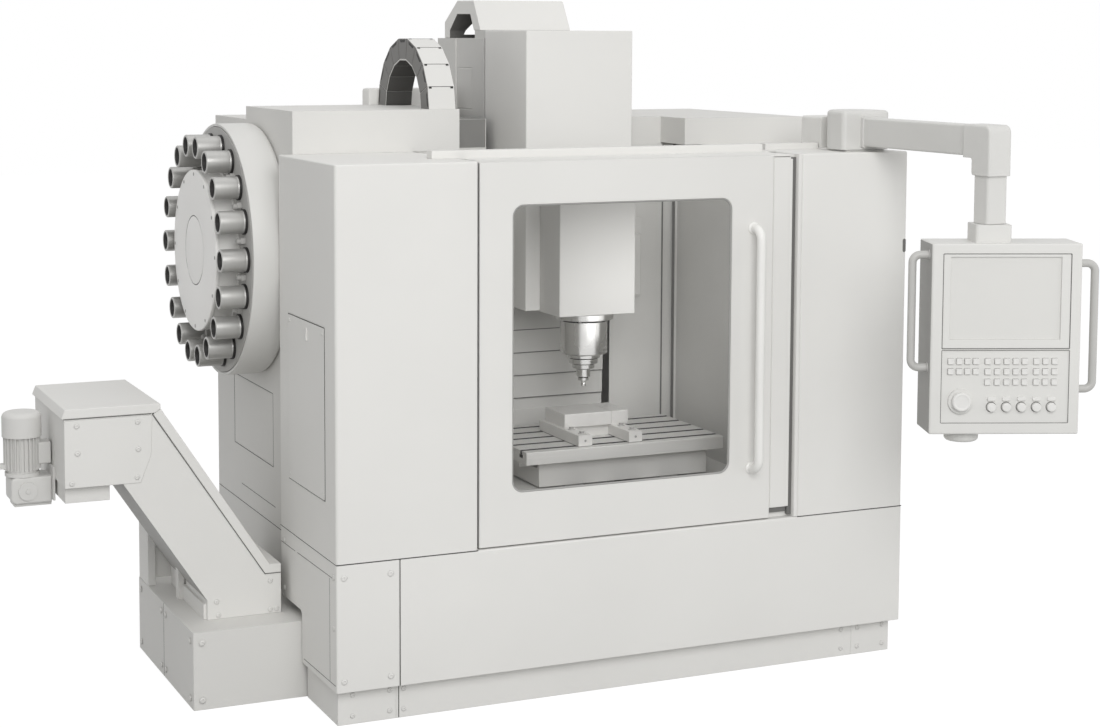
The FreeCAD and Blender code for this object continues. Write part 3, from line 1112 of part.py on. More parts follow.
# ---------------------------------------------------------------- coolant tank and chip conveyor
def coolant_tank():
    """The coolant tank: a closed sheet box with a seam on its left face and screws at its corners."""
    outer = block(TANK_LEFT, TANK_RIGHT, TANK_FRONT, TANK_BACK, 0, TANK_HEIGHT)
    outer = rounded(outer, 4, Z_DIR)
    inner = block(TANK_LEFT + SHEET, TANK_RIGHT - SHEET, TANK_FRONT + SHEET, TANK_BACK - SHEET, SHEET,
                  TANK_HEIGHT - SHEET)
    seam = block(TANK_LEFT - 1, TANK_LEFT + 1, 884, 887, -1, TANK_HEIGHT + 1)
    tank = outer.cut(inner).cut(seam)
    screws = [cylinder(9, 3, V(TANK_LEFT + 34, TANK_FRONT - 3, z), Y_DIR) for z in (38, 262)]
    for y in (470, 850, 920, 1264):
        screws += [cylinder(9, 3, V(TANK_LEFT - 3, y, z), X_DIR) for z in (38, 262)]
    return joined([tank] + screws)


def conveyor_profile(inset):
    """The conveyor's side outline: foot, incline and discharge head, pulled in by a wall's thickness."""
    slant = inset * math.sqrt(1 + INCLINE_SLOPE ** 2)
    foot_top = TANK_HEIGHT + FOOT_HEIGHT
    low_x = FOOT_LEFT + inset
    low_z = foot_top - (inset * INCLINE_SLOPE - slant)
    head_low = HEAD_BOX_BOTTOM + inset
    meet_x = FOOT_LEFT - (head_low - foot_top - slant) / INCLINE_SLOPE
    top_z = INCLINE_TOP_Z - inset
    return [(CONVEYOR_RIGHT - inset, TANK_HEIGHT + inset), (low_x, TANK_HEIGHT + inset), (low_x, low_z),
            (meet_x, head_low), (HEAD_BOX_LEFT + inset, head_low), (HEAD_BOX_LEFT + inset, HEAD_BOX_TOP),
            (INCLINE_END_X - inset, HEAD_BOX_TOP), (INCLINE_START_X - inset * 0.6, top_z),
            (CONVEYOR_RIGHT - inset, top_z)]


def conveyor_trough():
    """The conveyor's welded trough: foot, incline, discharge head, side plates, stand and chute."""
    outer = prism_y(conveyor_profile(0), CONVEYOR_FRONT, CONVEYOR_BACK)
    inner = prism_y(conveyor_profile(CONVEYOR_SHEET), CONVEYOR_FRONT + CONVEYOR_SHEET,
                    CONVEYOR_BACK - CONVEYOR_SHEET)
    trough = outer.cut(inner)
    top_room = block(HEAD_BOX_LEFT + CONVEYOR_SHEET, INCLINE_END_X - 6, CONVEYOR_FRONT + CONVEYOR_SHEET,
                     CONVEYOR_BACK - CONVEYOR_SHEET, HEAD_BOX_TOP - 5, HEAD_BOX_TOP + 1)
    trough = trough.cut(top_room)
    cheek = [(HEAD_BOX_LEFT, HEAD_BOX_BOTTOM), (-588, HEAD_BOX_BOTTOM), (-547, 972), (-541, HEAD_BOX_TOP - 8),
             (HEAD_BOX_LEFT, HEAD_BOX_TOP - 8)]
    cheeks = [prism_y(cheek, CONVEYOR_FRONT - 4, CONVEYOR_FRONT), prism_y(cheek, CONVEYOR_BACK, CONVEYOR_BACK + 4)]
    chute_x0, chute_x1 = HEAD_BOX_LEFT + 8, HEAD_BOX_LEFT + 178
    chute_y0, chute_y1 = CONVEYOR_FRONT + 40, CONVEYOR_BACK - 40
    low = HEAD_BOX_BOTTOM - CHUTE_HEIGHT
    chute = block(chute_x0, chute_x1, chute_y0, chute_y1, low, HEAD_BOX_BOTTOM)
    mouth = block(chute_x0 + CONVEYOR_SHEET, chute_x1 - CONVEYOR_SHEET, chute_y0 + CONVEYOR_SHEET,
                  chute_y1 - CONVEYOR_SHEET, low - 1, HEAD_BOX_BOTTOM + CONVEYOR_SHEET + 1)
    stand = conveyor_stand()
    guard = drive_guard()
    shaft_bores = cylinder(CONVEYOR_SHAFT_R + SCREW_CLEARANCE, CONVEYOR_WIDTH + 20,
                           V(SHAFT_X, CONVEYOR_FRONT + 0.5, SHAFT_Z), Y_DIR)
    body = joined([trough, chute] + cheeks + stand)
    return joined([body.cut(mouth), guard]).cut(shaft_bores)


def conveyor_stand():
    """What carries the incline on the tank: a folded post behind it, a strut and a skid beside the foot."""
    left = TANK_LEFT + 2
    low = TANK_HEIGHT
    post = [block(left, left + 6, CONVEYOR_BACK, TANK_BACK - 4, low, POST_TOP),
            block(left, left + 32, CONVEYOR_BACK, CONVEYOR_BACK + 6, low, POST_TOP),
            block(left + 6, left + 120, CONVEYOR_BACK + 12, CONVEYOR_BACK + 18, low + 30, POST_TOP)]
    strut_left = FOOT_LEFT - 31
    strut_right = FOOT_LEFT - 5
    under = [(strut_left, FOOT_TOP + (FOOT_LEFT - strut_left) * INCLINE_SLOPE + 1),
             (strut_right, FOOT_TOP + (FOOT_LEFT - strut_right) * INCLINE_SLOPE + 1)]
    strut = prism_y([(strut_left, low), (strut_right, low), under[1], under[0]], CONVEYOR_BACK - 245,
                    CONVEYOR_BACK - 205)
    skid = block(FOOT_LEFT - 12, FOOT_LEFT + 1, CONVEYOR_FRONT + 14, CONVEYOR_BACK - 220, low, low + 60)
    return post + [strut, skid]


def drive_guard():
    """The closed chain guard on the back of the discharge head, from the gearbox to the top shaft."""
    y0, y1 = CONVEYOR_BACK + 4, CONVEYOR_BACK + 44
    ends = [cylinder(52, y1 - y0, V(SHAFT_X, y0, SHAFT_Z), Y_DIR),
            cylinder(40, y1 - y0, V(HEAD_BOX_LEFT + 60, y0, HEAD_BOX_BOTTOM + 50), Y_DIR)]
    run_x = SHAFT_X - (HEAD_BOX_LEFT + 60)
    run_z = SHAFT_Z - (HEAD_BOX_BOTTOM + 50)
    length = math.hypot(run_x, run_z)
    nx, nz = -run_z / length, run_x / length
    web = [(SHAFT_X + nx * 52, SHAFT_Z + nz * 52), (SHAFT_X - nx * 52, SHAFT_Z - nz * 52),
           (HEAD_BOX_LEFT + 60 - nx * 40, HEAD_BOX_BOTTOM + 50 - nz * 40),
           (HEAD_BOX_LEFT + 60 + nx * 40, HEAD_BOX_BOTTOM + 50 + nz * 40)]
    return joined(ends + [prism_y(web, y0, y1)])


def conveyor_incline_lid():
    """The folded lid along the incline's top edge, open underneath, with a flat end over the foot."""
    def outline(low, high):
        side = UP_Z * low, -UP_X * low
        top = UP_Z * high, -UP_X * high
        end_x = INCLINE_END_X - UP_X * 6
        end_z = HEAD_BOX_TOP - UP_Z * 6
        bend = (1 + UP_X) / UP_Z
        return [(end_x + side[0], end_z + side[1]), (INCLINE_START_X + low * bend, INCLINE_TOP_Z + low),
                (CONVEYOR_RIGHT - (SHEET if low > SEAT_GAP else 0), INCLINE_TOP_Z + low),
                (CONVEYOR_RIGHT - (SHEET if low > SEAT_GAP else 0), INCLINE_TOP_Z + high),
                (INCLINE_START_X + high * bend, INCLINE_TOP_Z + high), (end_x + top[0], end_z + top[1])]

    lid = prism_y(outline(SEAT_GAP, LID_THICKNESS), CONVEYOR_FRONT - SHEET, CONVEYOR_BACK + SHEET)
    room = prism_y(outline(SEAT_GAP - 1, LID_THICKNESS - SHEET), CONVEYOR_FRONT + CONVEYOR_SHEET,
                   CONVEYOR_BACK - CONVEYOR_SHEET)
    keep_ends = block(CONVEYOR_RIGHT - SHEET, CONVEYOR_RIGHT + 1, CONVEYOR_FRONT - SHEET, CONVEYOR_BACK + SHEET,
                      INCLINE_TOP_Z - 5, INCLINE_TOP_Z + LID_THICKNESS)
    return lid.cut(room.cut(keep_ends))


def conveyor_head_lid():
    """The screwed lid of the discharge head: a shallow folded tray turned over, flared to the left."""
    left = HEAD_BOX_LEFT - 12
    low = HEAD_BOX_TOP + SEAT_GAP
    high = HEAD_BOX_TOP + LID_THICKNESS
    end_x = INCLINE_END_X - UP_X * 6 - LID_END_GAP
    end_z = HEAD_BOX_TOP - UP_Z * 6
    right = end_x - (low - end_z) * UP_Z / UP_X
    nose_x = end_x + LID_THICKNESS * UP_Z
    nose_z = end_z - LID_THICKNESS * UP_X
    lid = prism_y([(left, low), (right, low), (nose_x, nose_z), (nose_x, high), (left + 14, high)],
                  CONVEYOR_FRONT - 8, CONVEYOR_BACK + 8)
    lid = rounded(lid, 5, Y_DIR, lambda p: p.z > HEAD_BOX_TOP + 20)
    room = block(HEAD_BOX_LEFT + CONVEYOR_SHEET, right - 12, CONVEYOR_FRONT + CONVEYOR_SHEET,
                 CONVEYOR_BACK - CONVEYOR_SHEET, low - 1, high - 6)
    return lid.cut(room)


def conveyor_belt():
    """The hinged steel belt round its two shafts, with a pushing rib every fourth plate."""
    y0, y1 = CONVEYOR_FRONT + 20, CONVEYOR_BACK - 20
    nx, nz = UP_Z, -UP_X

    def loop(radius):
        corners = [(TAIL_X + nx * radius, TAIL_Z + nz * radius), (SHAFT_X + nx * radius, SHAFT_Z + nz * radius),
                   (SHAFT_X - nx * radius, SHAFT_Z - nz * radius), (TAIL_X - nx * radius, TAIL_Z - nz * radius)]
        return joined([prism_y(corners, y0, y1), cylinder(radius, y1 - y0, V(TAIL_X, y0, TAIL_Z), Y_DIR),
                       cylinder(radius, y1 - y0, V(SHAFT_X, y0, SHAFT_Z), Y_DIR)])

    belt = loop(BELT_R).cut(loop(BELT_R - BELT_SHEET))
    ribs = []
    for step in range(5):
        along = 90 + step * 130
        for side in (-1, 1):
            x = TAIL_X + UP_X * along + nx * side * (BELT_R - 1)
            z = TAIL_Z + UP_Z * along + nz * side * (BELT_R - 1)
            ribs.append(prism_y([(x, z), (x + UP_X * 10, z + UP_Z * 10),
                                 (x + UP_X * 10 + nx * side * 22, z + UP_Z * 10 + nz * side * 22),
                                 (x + nx * side * 22, z + nz * side * 22)], y0, y1))
    return joined([belt] + ribs)


def conveyor_shaft():
    """The driven shaft at the top of the belt, with two toothed wheels."""
    shaft = cylinder(CONVEYOR_SHAFT_R, CONVEYOR_WIDTH - 1, V(SHAFT_X, CONVEYOR_FRONT + 1, SHAFT_Z), Y_DIR)
    wheels = []
    for y in (CONVEYOR_FRONT + 60, CONVEYOR_BACK - 84):
        points = []
        for step in range(16):
            radius = BELT_R - BELT_SHEET - SLIDE_CLEARANCE if step % 2 else BELT_R - 20
            angle = 2 * math.pi * step / 16
            points.append((SHAFT_X + radius * math.cos(angle), SHAFT_Z + radius * math.sin(angle)))
        wheels.append(prism_y(points, y, y + 24))
    return joined([shaft] + wheels)


def gear_motor():
    """The conveyor's upright motor: finned body, fan cowl, terminal box and foot flange."""
    low = GEARBOX_BOTTOM + GEARBOX_HEIGHT
    body_low = low + 24
    body_high = body_low + 128
    top = body_high + 96
    core = cylinder(MOTOR_R - 12, body_high - low, V(MOTOR_X, MOTOR_Y, low), Z_DIR)
    flange = cylinder(MOTOR_R - 4, 14, V(MOTOR_X, MOTOR_Y, low), Z_DIR)
    neck = Part.makeCone(MOTOR_R - 10, MOTOR_R - 22, 14, V(MOTOR_X, MOTOR_Y, low + 12), Z_DIR)
    cowl = cylinder(MOTOR_R + 5, top - body_high, V(MOTOR_X, MOTOR_Y, body_high), Z_DIR)
    cowl = cowl.makeFillet(22, [e for e in cowl.Edges if e.isClosed() and e.CenterOfMass.z > top - 1])
    fins = []
    for index in range(24):
        fin = block(MOTOR_R - 16, MOTOR_R, -1.8, 1.8, body_low, body_high)
        fin.rotate(V(0, 0, 0), Z_DIR, index * 15)
        fin.translate(V(MOTOR_X, MOTOR_Y, 0))
        fins.append(fin)
    box_x = MOTOR_X + MOTOR_R - 14
    terminal = block(box_x, HEAD_BOX_LEFT - 6, MOTOR_Y - 38, MOTOR_Y + 38, body_low + 20, body_low + 104)
    terminal = rounded(terminal, 6, X_DIR)
    lug = block(MOTOR_X - MOTOR_R - 26, MOTOR_X - MOTOR_R + 16, MOTOR_Y - 18, MOTOR_Y + 18, body_low + 6,
                body_low + 24)
    return joined([core, flange, neck, cowl, terminal, lug] + fins)


def gearbox():
    """The worm gearbox under the motor: rounded housing, round side cover, foot and mounting plate."""
    right = HEAD_BOX_LEFT - SEAT_GAP
    left = right - GEARBOX_WIDTH
    high = GEARBOX_BOTTOM + GEARBOX_HEIGHT
    box = block(left, right - 8, MOTOR_Y - 66, MOTOR_Y + 66, GEARBOX_BOTTOM, high)
    box = rounded(box, 22, Y_DIR, lambda p: p.x < left + 1)
    box = rounded(box, 8, Z_DIR)
    cover = cylinder(36, 8, V(left + 62, MOTOR_Y - 74, GEARBOX_BOTTOM + 50), Y_DIR)
    plug = cylinder(9, 5, V(left + 62, MOTOR_Y - 79, GEARBOX_BOTTOM + 50), Y_DIR)
    plate = block(right - 8, right, MOTOR_Y - 90, MOTOR_Y + 90, GEARBOX_BOTTOM + 10, HEAD_BOX_BOTTOM + 48)
    foot = block(left + 14, right - 8, MOTOR_Y - 50, MOTOR_Y + 50, GEARBOX_BOTTOM - 12, GEARBOX_BOTTOM)
    return joined([box, cover, plug, plate, foot])


# ---------------------------------------------------------------- operator panel
def arm_bracket():
    """The fixed bracket of the panel's arm on the right cabinet: rear block, base plate and pivot pin."""
    behind = ARM_PIVOT_Y + PIVOT_HEAD_R + PIVOT_HEAD_SHIFT + BRACKET_GAP
    left = BRACKET_LEFT
    rear = block(left, left + BRACKET_WIDTH, behind, behind + BRACKET_LENGTH, CABINET_TOP, CABINET_TOP + 135)
    rear = rounded(rear, 12, Y_DIR, lambda p: p.z > CABINET_TOP + 130)
    plate = block(left - 20, left + BRACKET_WIDTH + 14, ARM_PIVOT_Y - PIVOT_HEAD_FRONT + 6, behind, CABINET_TOP,
                  CABINET_TOP + 6)
    pin = cylinder(24, ARM_BOTTOM - CABINET_TOP + 60, V(ARM_PIVOT_X, ARM_PIVOT_Y, CABINET_TOP), Z_DIR)
    return joined([rear, plate, pin])


def pivot_head(low, high):
    """The arm's head over its pivot pin: square in front, round behind so that it can swing."""
    middle = ARM_PIVOT_X - PIVOT_HEAD_SHIFT
    front = ARM_PIVOT_Y - PIVOT_HEAD_FRONT
    right = V(middle + PIVOT_HEAD_R, ARM_PIVOT_Y, low)
    left = V(middle - PIVOT_HEAD_R, ARM_PIVOT_Y, low)
    corner_right = V(right.x, front, low)
    corner_left = V(left.x, front, low)
    back = Part.Arc(right, V(middle, ARM_PIVOT_Y + PIVOT_HEAD_R, low), left).toShape()
    sides = [Part.makeLine(corner_left, corner_right), Part.makeLine(corner_right, right), back,
             Part.makeLine(left, corner_left)]
    head = Part.Face(Part.Wire(sides)).extrude(V(0, 0, high - low))
    head = rounded(head, 20, Z_DIR, lambda p: p.y < front + 1)
    return head.makeFillet(16, [edge for edge in head.Edges if edge.CenterOfMass.z > high - 0.1])


def pendant_arm():
    """The swinging arm: pivot head, box beam, rounded elbow and the square drop tube."""
    x0 = ARM_PIVOT_X - ARM_WIDTH / 2
    x1 = ARM_PIVOT_X + ARM_WIDTH / 2
    top = ARM_BOTTOM + ARM_HEIGHT
    end_y = ARM_PIVOT_Y - ARM_REACH
    head = pivot_head(CABINET_TOP + 7, top + 30)
    nose = block(x0 - 7, x1 + 7, ARM_PIVOT_Y - PIVOT_HEAD_FRONT - 16, ARM_PIVOT_Y - 60, ARM_BOTTOM - 5, top + 5)
    nose = rounded(nose, 8, Y_DIR)
    beam = block(x0, x1, end_y + 60, ARM_PIVOT_Y - 100, ARM_BOTTOM, top)
    beam = rounded(beam, 8, Y_DIR)
    elbow = block(x0 - 8, x1 + 8, end_y - 56, end_y + 104, ARM_BOTTOM - ELBOW_DROP, top + 4)
    bite = block(x0 - 9, x1 + 9, end_y + 50, end_y + 105, ARM_BOTTOM - ELBOW_DROP - 1, ARM_BOTTOM - 6)
    elbow = elbow.cut(bite)
    elbow = rounded(elbow, 30, X_DIR, lambda p: p.y < end_y and p.z > top)
    elbow = rounded(elbow, 10, X_DIR, lambda p: abs(p.y - end_y - 50) < 1 and p.z < ARM_BOTTOM)
    elbow = rounded(elbow, 10, Z_DIR, lambda p: p.y < end_y)
    half = DROP_TUBE / 2
    drop = block(ARM_PIVOT_X - half, ARM_PIVOT_X + half, end_y - half, end_y + half, DROP_BOTTOM,
                 ARM_BOTTOM - ELBOW_DROP + 6)
    drop = rounded(drop, 12, Z_DIR)
    pivot_bore = cylinder(24 + SCREW_CLEARANCE, ARM_BOTTOM - CABINET_TOP + 62,
                          V(ARM_PIVOT_X, ARM_PIVOT_Y, CABINET_TOP), Z_DIR)
    tip_bore = cylinder(20 + SCREW_CLEARANCE, 42, V(ARM_PIVOT_X, end_y, DROP_BOTTOM - 1), Z_DIR)
    beam_room = block(x0 + ARM_WALL, x1 - ARM_WALL, end_y + 60, ARM_PIVOT_Y - 110,
                      ARM_BOTTOM + ARM_WALL, top - ARM_WALL)
    elbow_room = block(x0, x1, end_y - 46, end_y + 61, ARM_BOTTOM + ARM_WALL, top - ARM_WALL)
    drop_room = block(ARM_PIVOT_X - half + ARM_WALL, ARM_PIVOT_X + half - ARM_WALL, end_y - half + ARM_WALL,
                      end_y + half - ARM_WALL, DROP_BOTTOM + 50, ARM_BOTTOM + ARM_WALL + 1)
    arm = joined([head, nose, beam, elbow, drop]).cut(joined([beam_room, elbow_room, drop_room]))
    return arm.cut(pivot_bore).cut(tip_bore)


def face_point(u, v, out):
    """A point on the panel's face: u from its left edge, v down from its top, out towards the user."""
    return V(FACE_LEFT + u, FACE_Y - out, PANEL_TOP - v)


def face_block(u0, u1, v0, v1, out0, out1):
    """A box on the panel's face."""
    return block(FACE_LEFT + u0, FACE_LEFT + u1, FACE_Y - out1, FACE_Y - out0, PANEL_TOP - v1, PANEL_TOP - v0)


def hang(shape):
    """Turns a piece of the panel to its resting angle and hangs it under the arm."""
    moved = shape.copy()
    moved.rotate(V(0, 0, 0), Z_DIR, PANEL_TURN)
    moved.translate(V(ARM_PIVOT_X, ARM_PIVOT_Y - ARM_REACH, 0))
    return moved


def panel_housing():
    """The operator panel's housing with collar, screen frame, key field, grab handles and cable gland."""
    box = face_block(0, PANEL_WIDTH, 0, PANEL_HEIGHT, -PANEL_DEPTH, 0)
    box = rounded(box, 9, Z_DIR)
    box = rounded(box, 6, X_DIR, lambda p: p.y < FACE_Y + 20)
    screen_pocket = face_block(*SCREEN_POCKET, -POCKET_DEPTH, 1)
    glass_pocket = face_block(*SCREEN_GLASS, -POCKET_DEPTH - SCREEN_THICKNESS, -POCKET_DEPTH + 1)
    room = face_block(SHEET, PANEL_WIDTH - SHEET, SHEET, PANEL_HEIGHT - SHEET, -PANEL_DEPTH + SHEET,
                      -PANEL_FRONT_WALL)
    key_field = face_block(*KEY_FIELD, -KEY_FIELD_DEPTH, 1)
    box = box.cut(room).cut(screen_pocket).cut(glass_pocket).cut(key_field)
    collar = block(-COLLAR / 2, COLLAR / 2, -COLLAR / 2, COLLAR / 2, PANEL_TOP, DROP_BOTTOM - 1)
    collar = rounded(collar, 14, Z_DIR)
    pin = cylinder(20, 36, V(0, 0, DROP_BOTTOM - 2), Z_DIR)
    gland = cylinder(64, 40, V(FACE_LEFT + GLAND_PLACE, 0, PANEL_TOP - PANEL_HEIGHT - 40), Z_DIR)
    gland = gland.makeFillet(16, [e for e in gland.Edges if e.isClosed()
                                  and e.CenterOfMass.z < PANEL_TOP - PANEL_HEIGHT - 39])
    dial_ring = cylinder(DIAL_RING_R, 6 + KEY_FIELD_DEPTH, face_point(DIAL_U, DIAL_V, 6), Y_DIR)
    shape = joined([box, collar, pin, gland, dial_ring, screen_frame()] + panel_handles())
    holes = [cylinder(BUTTON_R + BUTTON_CLEARANCE, 30, face_point(u, BUTTON_ROW, 2), Y_DIR)
             for u in BUTTON_COLUMNS]
    holes.append(cylinder(8 + BUTTON_CLEARANCE, 40, face_point(DIAL_U, DIAL_V, 7), Y_DIR))
    return hang(shape.cut(Part.makeCompound(holes)))


def screen_frame():
    """The raised screen frame in the housing's pocket, with a fine groove all round it."""
    frame = face_block(SCREEN_POCKET[0] + 1.5, SCREEN_POCKET[1] - 1.5,
                       SCREEN_POCKET[2] + 1.5, SCREEN_POCKET[3] - 1.5,
                       -POCKET_DEPTH, -1)
    frame = rounded(frame, 4, Y_DIR)
    return frame.cut(face_block(SCREEN_GLASS[0] + 1, SCREEN_GLASS[1] - 1, SCREEN_GLASS[2] + 1, SCREEN_GLASS[3] - 1,
                                -8, 1))


def panel_screen():
    """The display glass behind the screen frame."""
    return hang(face_block(SCREEN_GLASS[0] + SEAT_GAP, SCREEN_GLASS[1] - SEAT_GAP, SCREEN_GLASS[2] + SEAT_GAP,
                           SCREEN_GLASS[3] - SEAT_GAP, -POCKET_DEPTH - SCREEN_THICKNESS, -POCKET_DEPTH))


def key_set():
    """The thirty-two keys in their two fields, and the label caps above the buttons."""
    keys = []
    for columns, rows in KEY_COLUMNS:
        for u in columns:
            for v in rows:
                half = KEY_SIZE / 2
                key = face_block(u - half, u + half, v - half, v + half, -KEY_FIELD_DEPTH, KEY_HEIGHT)
                rim = [e for e in key.Edges if e.CenterOfMass.y < FACE_Y - KEY_HEIGHT + 0.1]
                keys.append(key.makeChamfer(1.5, rim))
    for u in BUTTON_COLUMNS:
        cap = face_block(u - 12, u + 12, BUTTON_ROW - 36, BUTTON_ROW - 21, -KEY_FIELD_DEPTH, 2)
        keys.append(cap)
    return hang(Part.makeCompound(keys))


def panel_handles():
    """The two bent grab handles on the panel's sides, the left one shorter and higher."""
    handles = []
    radius = PANEL_HANDLE_TUBE / 2
    y = FACE_Y + 50
    for x, side, ends in ((FACE_LEFT, -1, LEFT_GRIP_ENDS), (FACE_LEFT + PANEL_WIDTH, 1, RIGHT_GRIP_ENDS)):
        high, low = PANEL_TOP - ends[0], PANEL_TOP - ends[1]
        grip = bent_grip(V(x, y, low), V(x, y, high), X_DIR * side, PANEL_HANDLE_REACH, PANEL_HANDLE_BEND, radius)
        rings = [cylinder(radius + 4, 3, V(x if side > 0 else x - 3, y, z), X_DIR) for z in (low, high)]
        handles.append(joined([grip] + rings))
    return handles


def push_button(u):
    """One push button: a stem in the housing and a slightly domed cap."""
    start = face_point(u, BUTTON_ROW, BUTTON_HEIGHT)
    cap = cylinder(BUTTON_R, BUTTON_HEIGHT + 10, start, Y_DIR)
    edge = [e for e in cap.Edges if e.isClosed() and e.CenterOfMass.y < start.y + 0.5]
    return hang(cap.makeChamfer(2.5, edge))


def jog_dial():
    """The jog dial: a knob with a finger rim, on a shaft in the housing."""
    start = face_point(DIAL_U, DIAL_V, DIAL_HEIGHT)
    knob = cylinder(DIAL_R, DIAL_HEIGHT - 7, start, Y_DIR)
    knob = knob.makeChamfer(3.5, [e for e in knob.Edges if e.isClosed() and e.CenterOfMass.y < start.y + 0.5])
    dimple = cylinder(7, 3, face_point(DIAL_U + 22, DIAL_V, DIAL_HEIGHT), Y_DIR)
    shaft = cylinder(8, DIAL_HEIGHT + 20, start + Y_DIR * 5, Y_DIR)
    return hang(joined([knob.cut(dimple), shaft]))


# ---------------------------------------------------------------- drives
def drive_pieces():
    """The three ball screws and their motors."""
    y_start = V(Y_SCREW_X, Y_SCREW_FRONT, Y_SCREW_Z)
    x_left, x_right = x_bearing_places()
    x_start = V(x_left, X_SCREW_Y, X_SCREW_Z)
    x_length = x_right + X_BEARING - x_left
    z_start = V(SPINDLE_X, Z_SCREW_Y, Z_SCREW_BOTTOM)
    shoulder = 0.5
    return {
        "y_ball_screw": cylinder(SCREW_DIAMETER / 2, Y_RAIL_BACK + 6 - Y_SCREW_FRONT, y_start, Y_DIR),
        "x_ball_screw": ball_screw(x_length, X_BEARING + shoulder, x_start, X_DIR),
        "z_ball_screw": ball_screw(Z_SCREW_TOP - Z_SCREW_BOTTOM, Z_BRACKET + shoulder, z_start, Z_DIR),
        "y_motor": servo_motor(Y_MOTOR_SIZE, Y_MOTOR_LENGTH, y_start - Y_DIR * SEAT_GAP, -Y_DIR),
        "x_motor": servo_motor(X_MOTOR_SIZE, X_MOTOR_LENGTH, x_start + X_DIR * (x_length + SEAT_GAP), X_DIR),
        "z_motor": servo_motor(Z_MOTOR_SIZE, Z_MOTOR_LENGTH,
                               V(SPINDLE_X, Z_SCREW_Y, Z_SCREW_TOP + SEAT_GAP), Z_DIR),
    }


def main():
    """Builds every piece and writes it."""
    os.makedirs("parts", exist_ok=True)
    pieces = {
        "bed_casting": bed_casting(),
        "base_casing": base_casing(),
        "base_skirt": base_skirt(),
        "left_cabinet": left_cabinet(),
        "side_service_panel": side_service_panel(),
        "right_cabinet": right_cabinet(),
        "front_frame": front_frame(),
        "chamber_liner": chamber_liner(),
        "work_lamp": work_lamp(),
        "rear_housing": rear_housing(),
        "column": column(),
        "column_hood": column_hood(),
        "z_rails": z_rails(),
        "y_rails": y_rails(),
        "magazine_housing": magazine_housing(),
        "coolant_tank": coolant_tank(),
        "conveyor_trough": conveyor_trough(),
        "conveyor_incline_lid": conveyor_incline_lid(),
        "conveyor_head_lid": conveyor_head_lid(),
        "conveyor_belt": conveyor_belt(),
        "gear_motor": gear_motor(),
        "gearbox": gearbox(),
        "arm_bracket": arm_bracket(),
        "door_panel": door_panel(),
        "door_glass": door_glass(),
        "door_handle": door_handle(),
        "saddle": saddle(),
        "x_rails": x_rails(),
        "table": table(),
        "workpiece": workpiece(),
        "work_clamps": work_clamps(),
        "head_casing": head_casing(),
        "head_casting": head_casting(),
        "spindle_sleeve": spindle_sleeve(),
        "spindle_shaft": spindle_shaft(),
        "tool_holder": tool_holder(),
        "carousel": carousel(),
        "carousel_cover": carousel_cover(),
        "cable_chain": cable_chain(),
        "conveyor_shaft": conveyor_shaft(),
        "pendant_arm": pendant_arm(),
        "panel_housing": panel_housing(),
        "panel_screen": panel_screen(),
        "key_set": key_set(),
        "jog_dial": jog_dial(),
    }
    pieces.update(drive_pieces())
    for index in range(COVER_PLATES):
        pieces["way_cover_%d" % (index + 1)] = way_cover(index)
    for index, u in enumerate(BUTTON_COLUMNS):
        pieces["push_button_%d" % (index + 1)] = push_button(u)
    for name, shape in pieces.items():
        save(name, shape)
        box = shape.BoundBox
        print("%-22s solids %2d valid %s volume %8.1f cm3  x %.0f..%.0f y %.0f..%.0f z %.0f..%.0f" % (
            name, len(shape.Solids), shape.isValid(), shape.Volume / 1000, box.XMin, box.XMax, box.YMin, box.YMax,
            box.ZMin, box.ZMax))
    print(len(pieces), "pieces")


main()
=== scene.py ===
"""Looks of a vertical machining centre: its finishes, its finely made pieces, the studio and the camera.

The fixed frame gives every place. Lengths are metres, with the origin on the floor in the middle of the
machine's footprint. Left, right, front and back are those of the operator who stands before the door.
"""
from __future__ import annotations

import json
import logging
import math
from dataclasses import dataclass, field
from enum import Enum
from typing import Sequence

import bmesh
import bpy
import numpy as np
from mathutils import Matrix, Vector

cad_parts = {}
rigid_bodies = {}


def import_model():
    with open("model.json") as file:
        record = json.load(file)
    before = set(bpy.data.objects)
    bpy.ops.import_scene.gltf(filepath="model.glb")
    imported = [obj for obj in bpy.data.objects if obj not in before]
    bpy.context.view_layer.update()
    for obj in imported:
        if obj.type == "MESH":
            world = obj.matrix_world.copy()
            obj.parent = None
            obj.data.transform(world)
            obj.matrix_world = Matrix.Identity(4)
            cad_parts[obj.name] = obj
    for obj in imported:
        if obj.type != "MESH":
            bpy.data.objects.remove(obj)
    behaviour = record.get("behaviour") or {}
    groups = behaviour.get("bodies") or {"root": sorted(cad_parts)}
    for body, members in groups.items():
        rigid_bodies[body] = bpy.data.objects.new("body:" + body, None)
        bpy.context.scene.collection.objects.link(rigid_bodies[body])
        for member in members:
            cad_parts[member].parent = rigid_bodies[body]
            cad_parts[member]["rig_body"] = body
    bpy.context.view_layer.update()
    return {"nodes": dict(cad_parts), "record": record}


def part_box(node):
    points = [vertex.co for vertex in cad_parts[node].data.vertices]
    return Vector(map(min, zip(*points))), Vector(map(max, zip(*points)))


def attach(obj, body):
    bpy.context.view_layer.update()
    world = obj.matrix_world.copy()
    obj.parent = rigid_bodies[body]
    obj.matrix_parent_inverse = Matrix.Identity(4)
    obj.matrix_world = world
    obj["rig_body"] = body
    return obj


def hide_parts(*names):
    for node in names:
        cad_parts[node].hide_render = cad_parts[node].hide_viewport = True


Array = np.ndarray
Pair = tuple[float, float]
Point = tuple[float, float, float]
Colour = tuple[float, float, float]
Line = tuple[Point, Point]
Box = tuple[float, float, float, float, float, float]

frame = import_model()
log = logging.getLogger("machining_centre")

MM = 0.001
WELD = 1e-5
TINY = 1e-6
FIXED = "machine_frame"

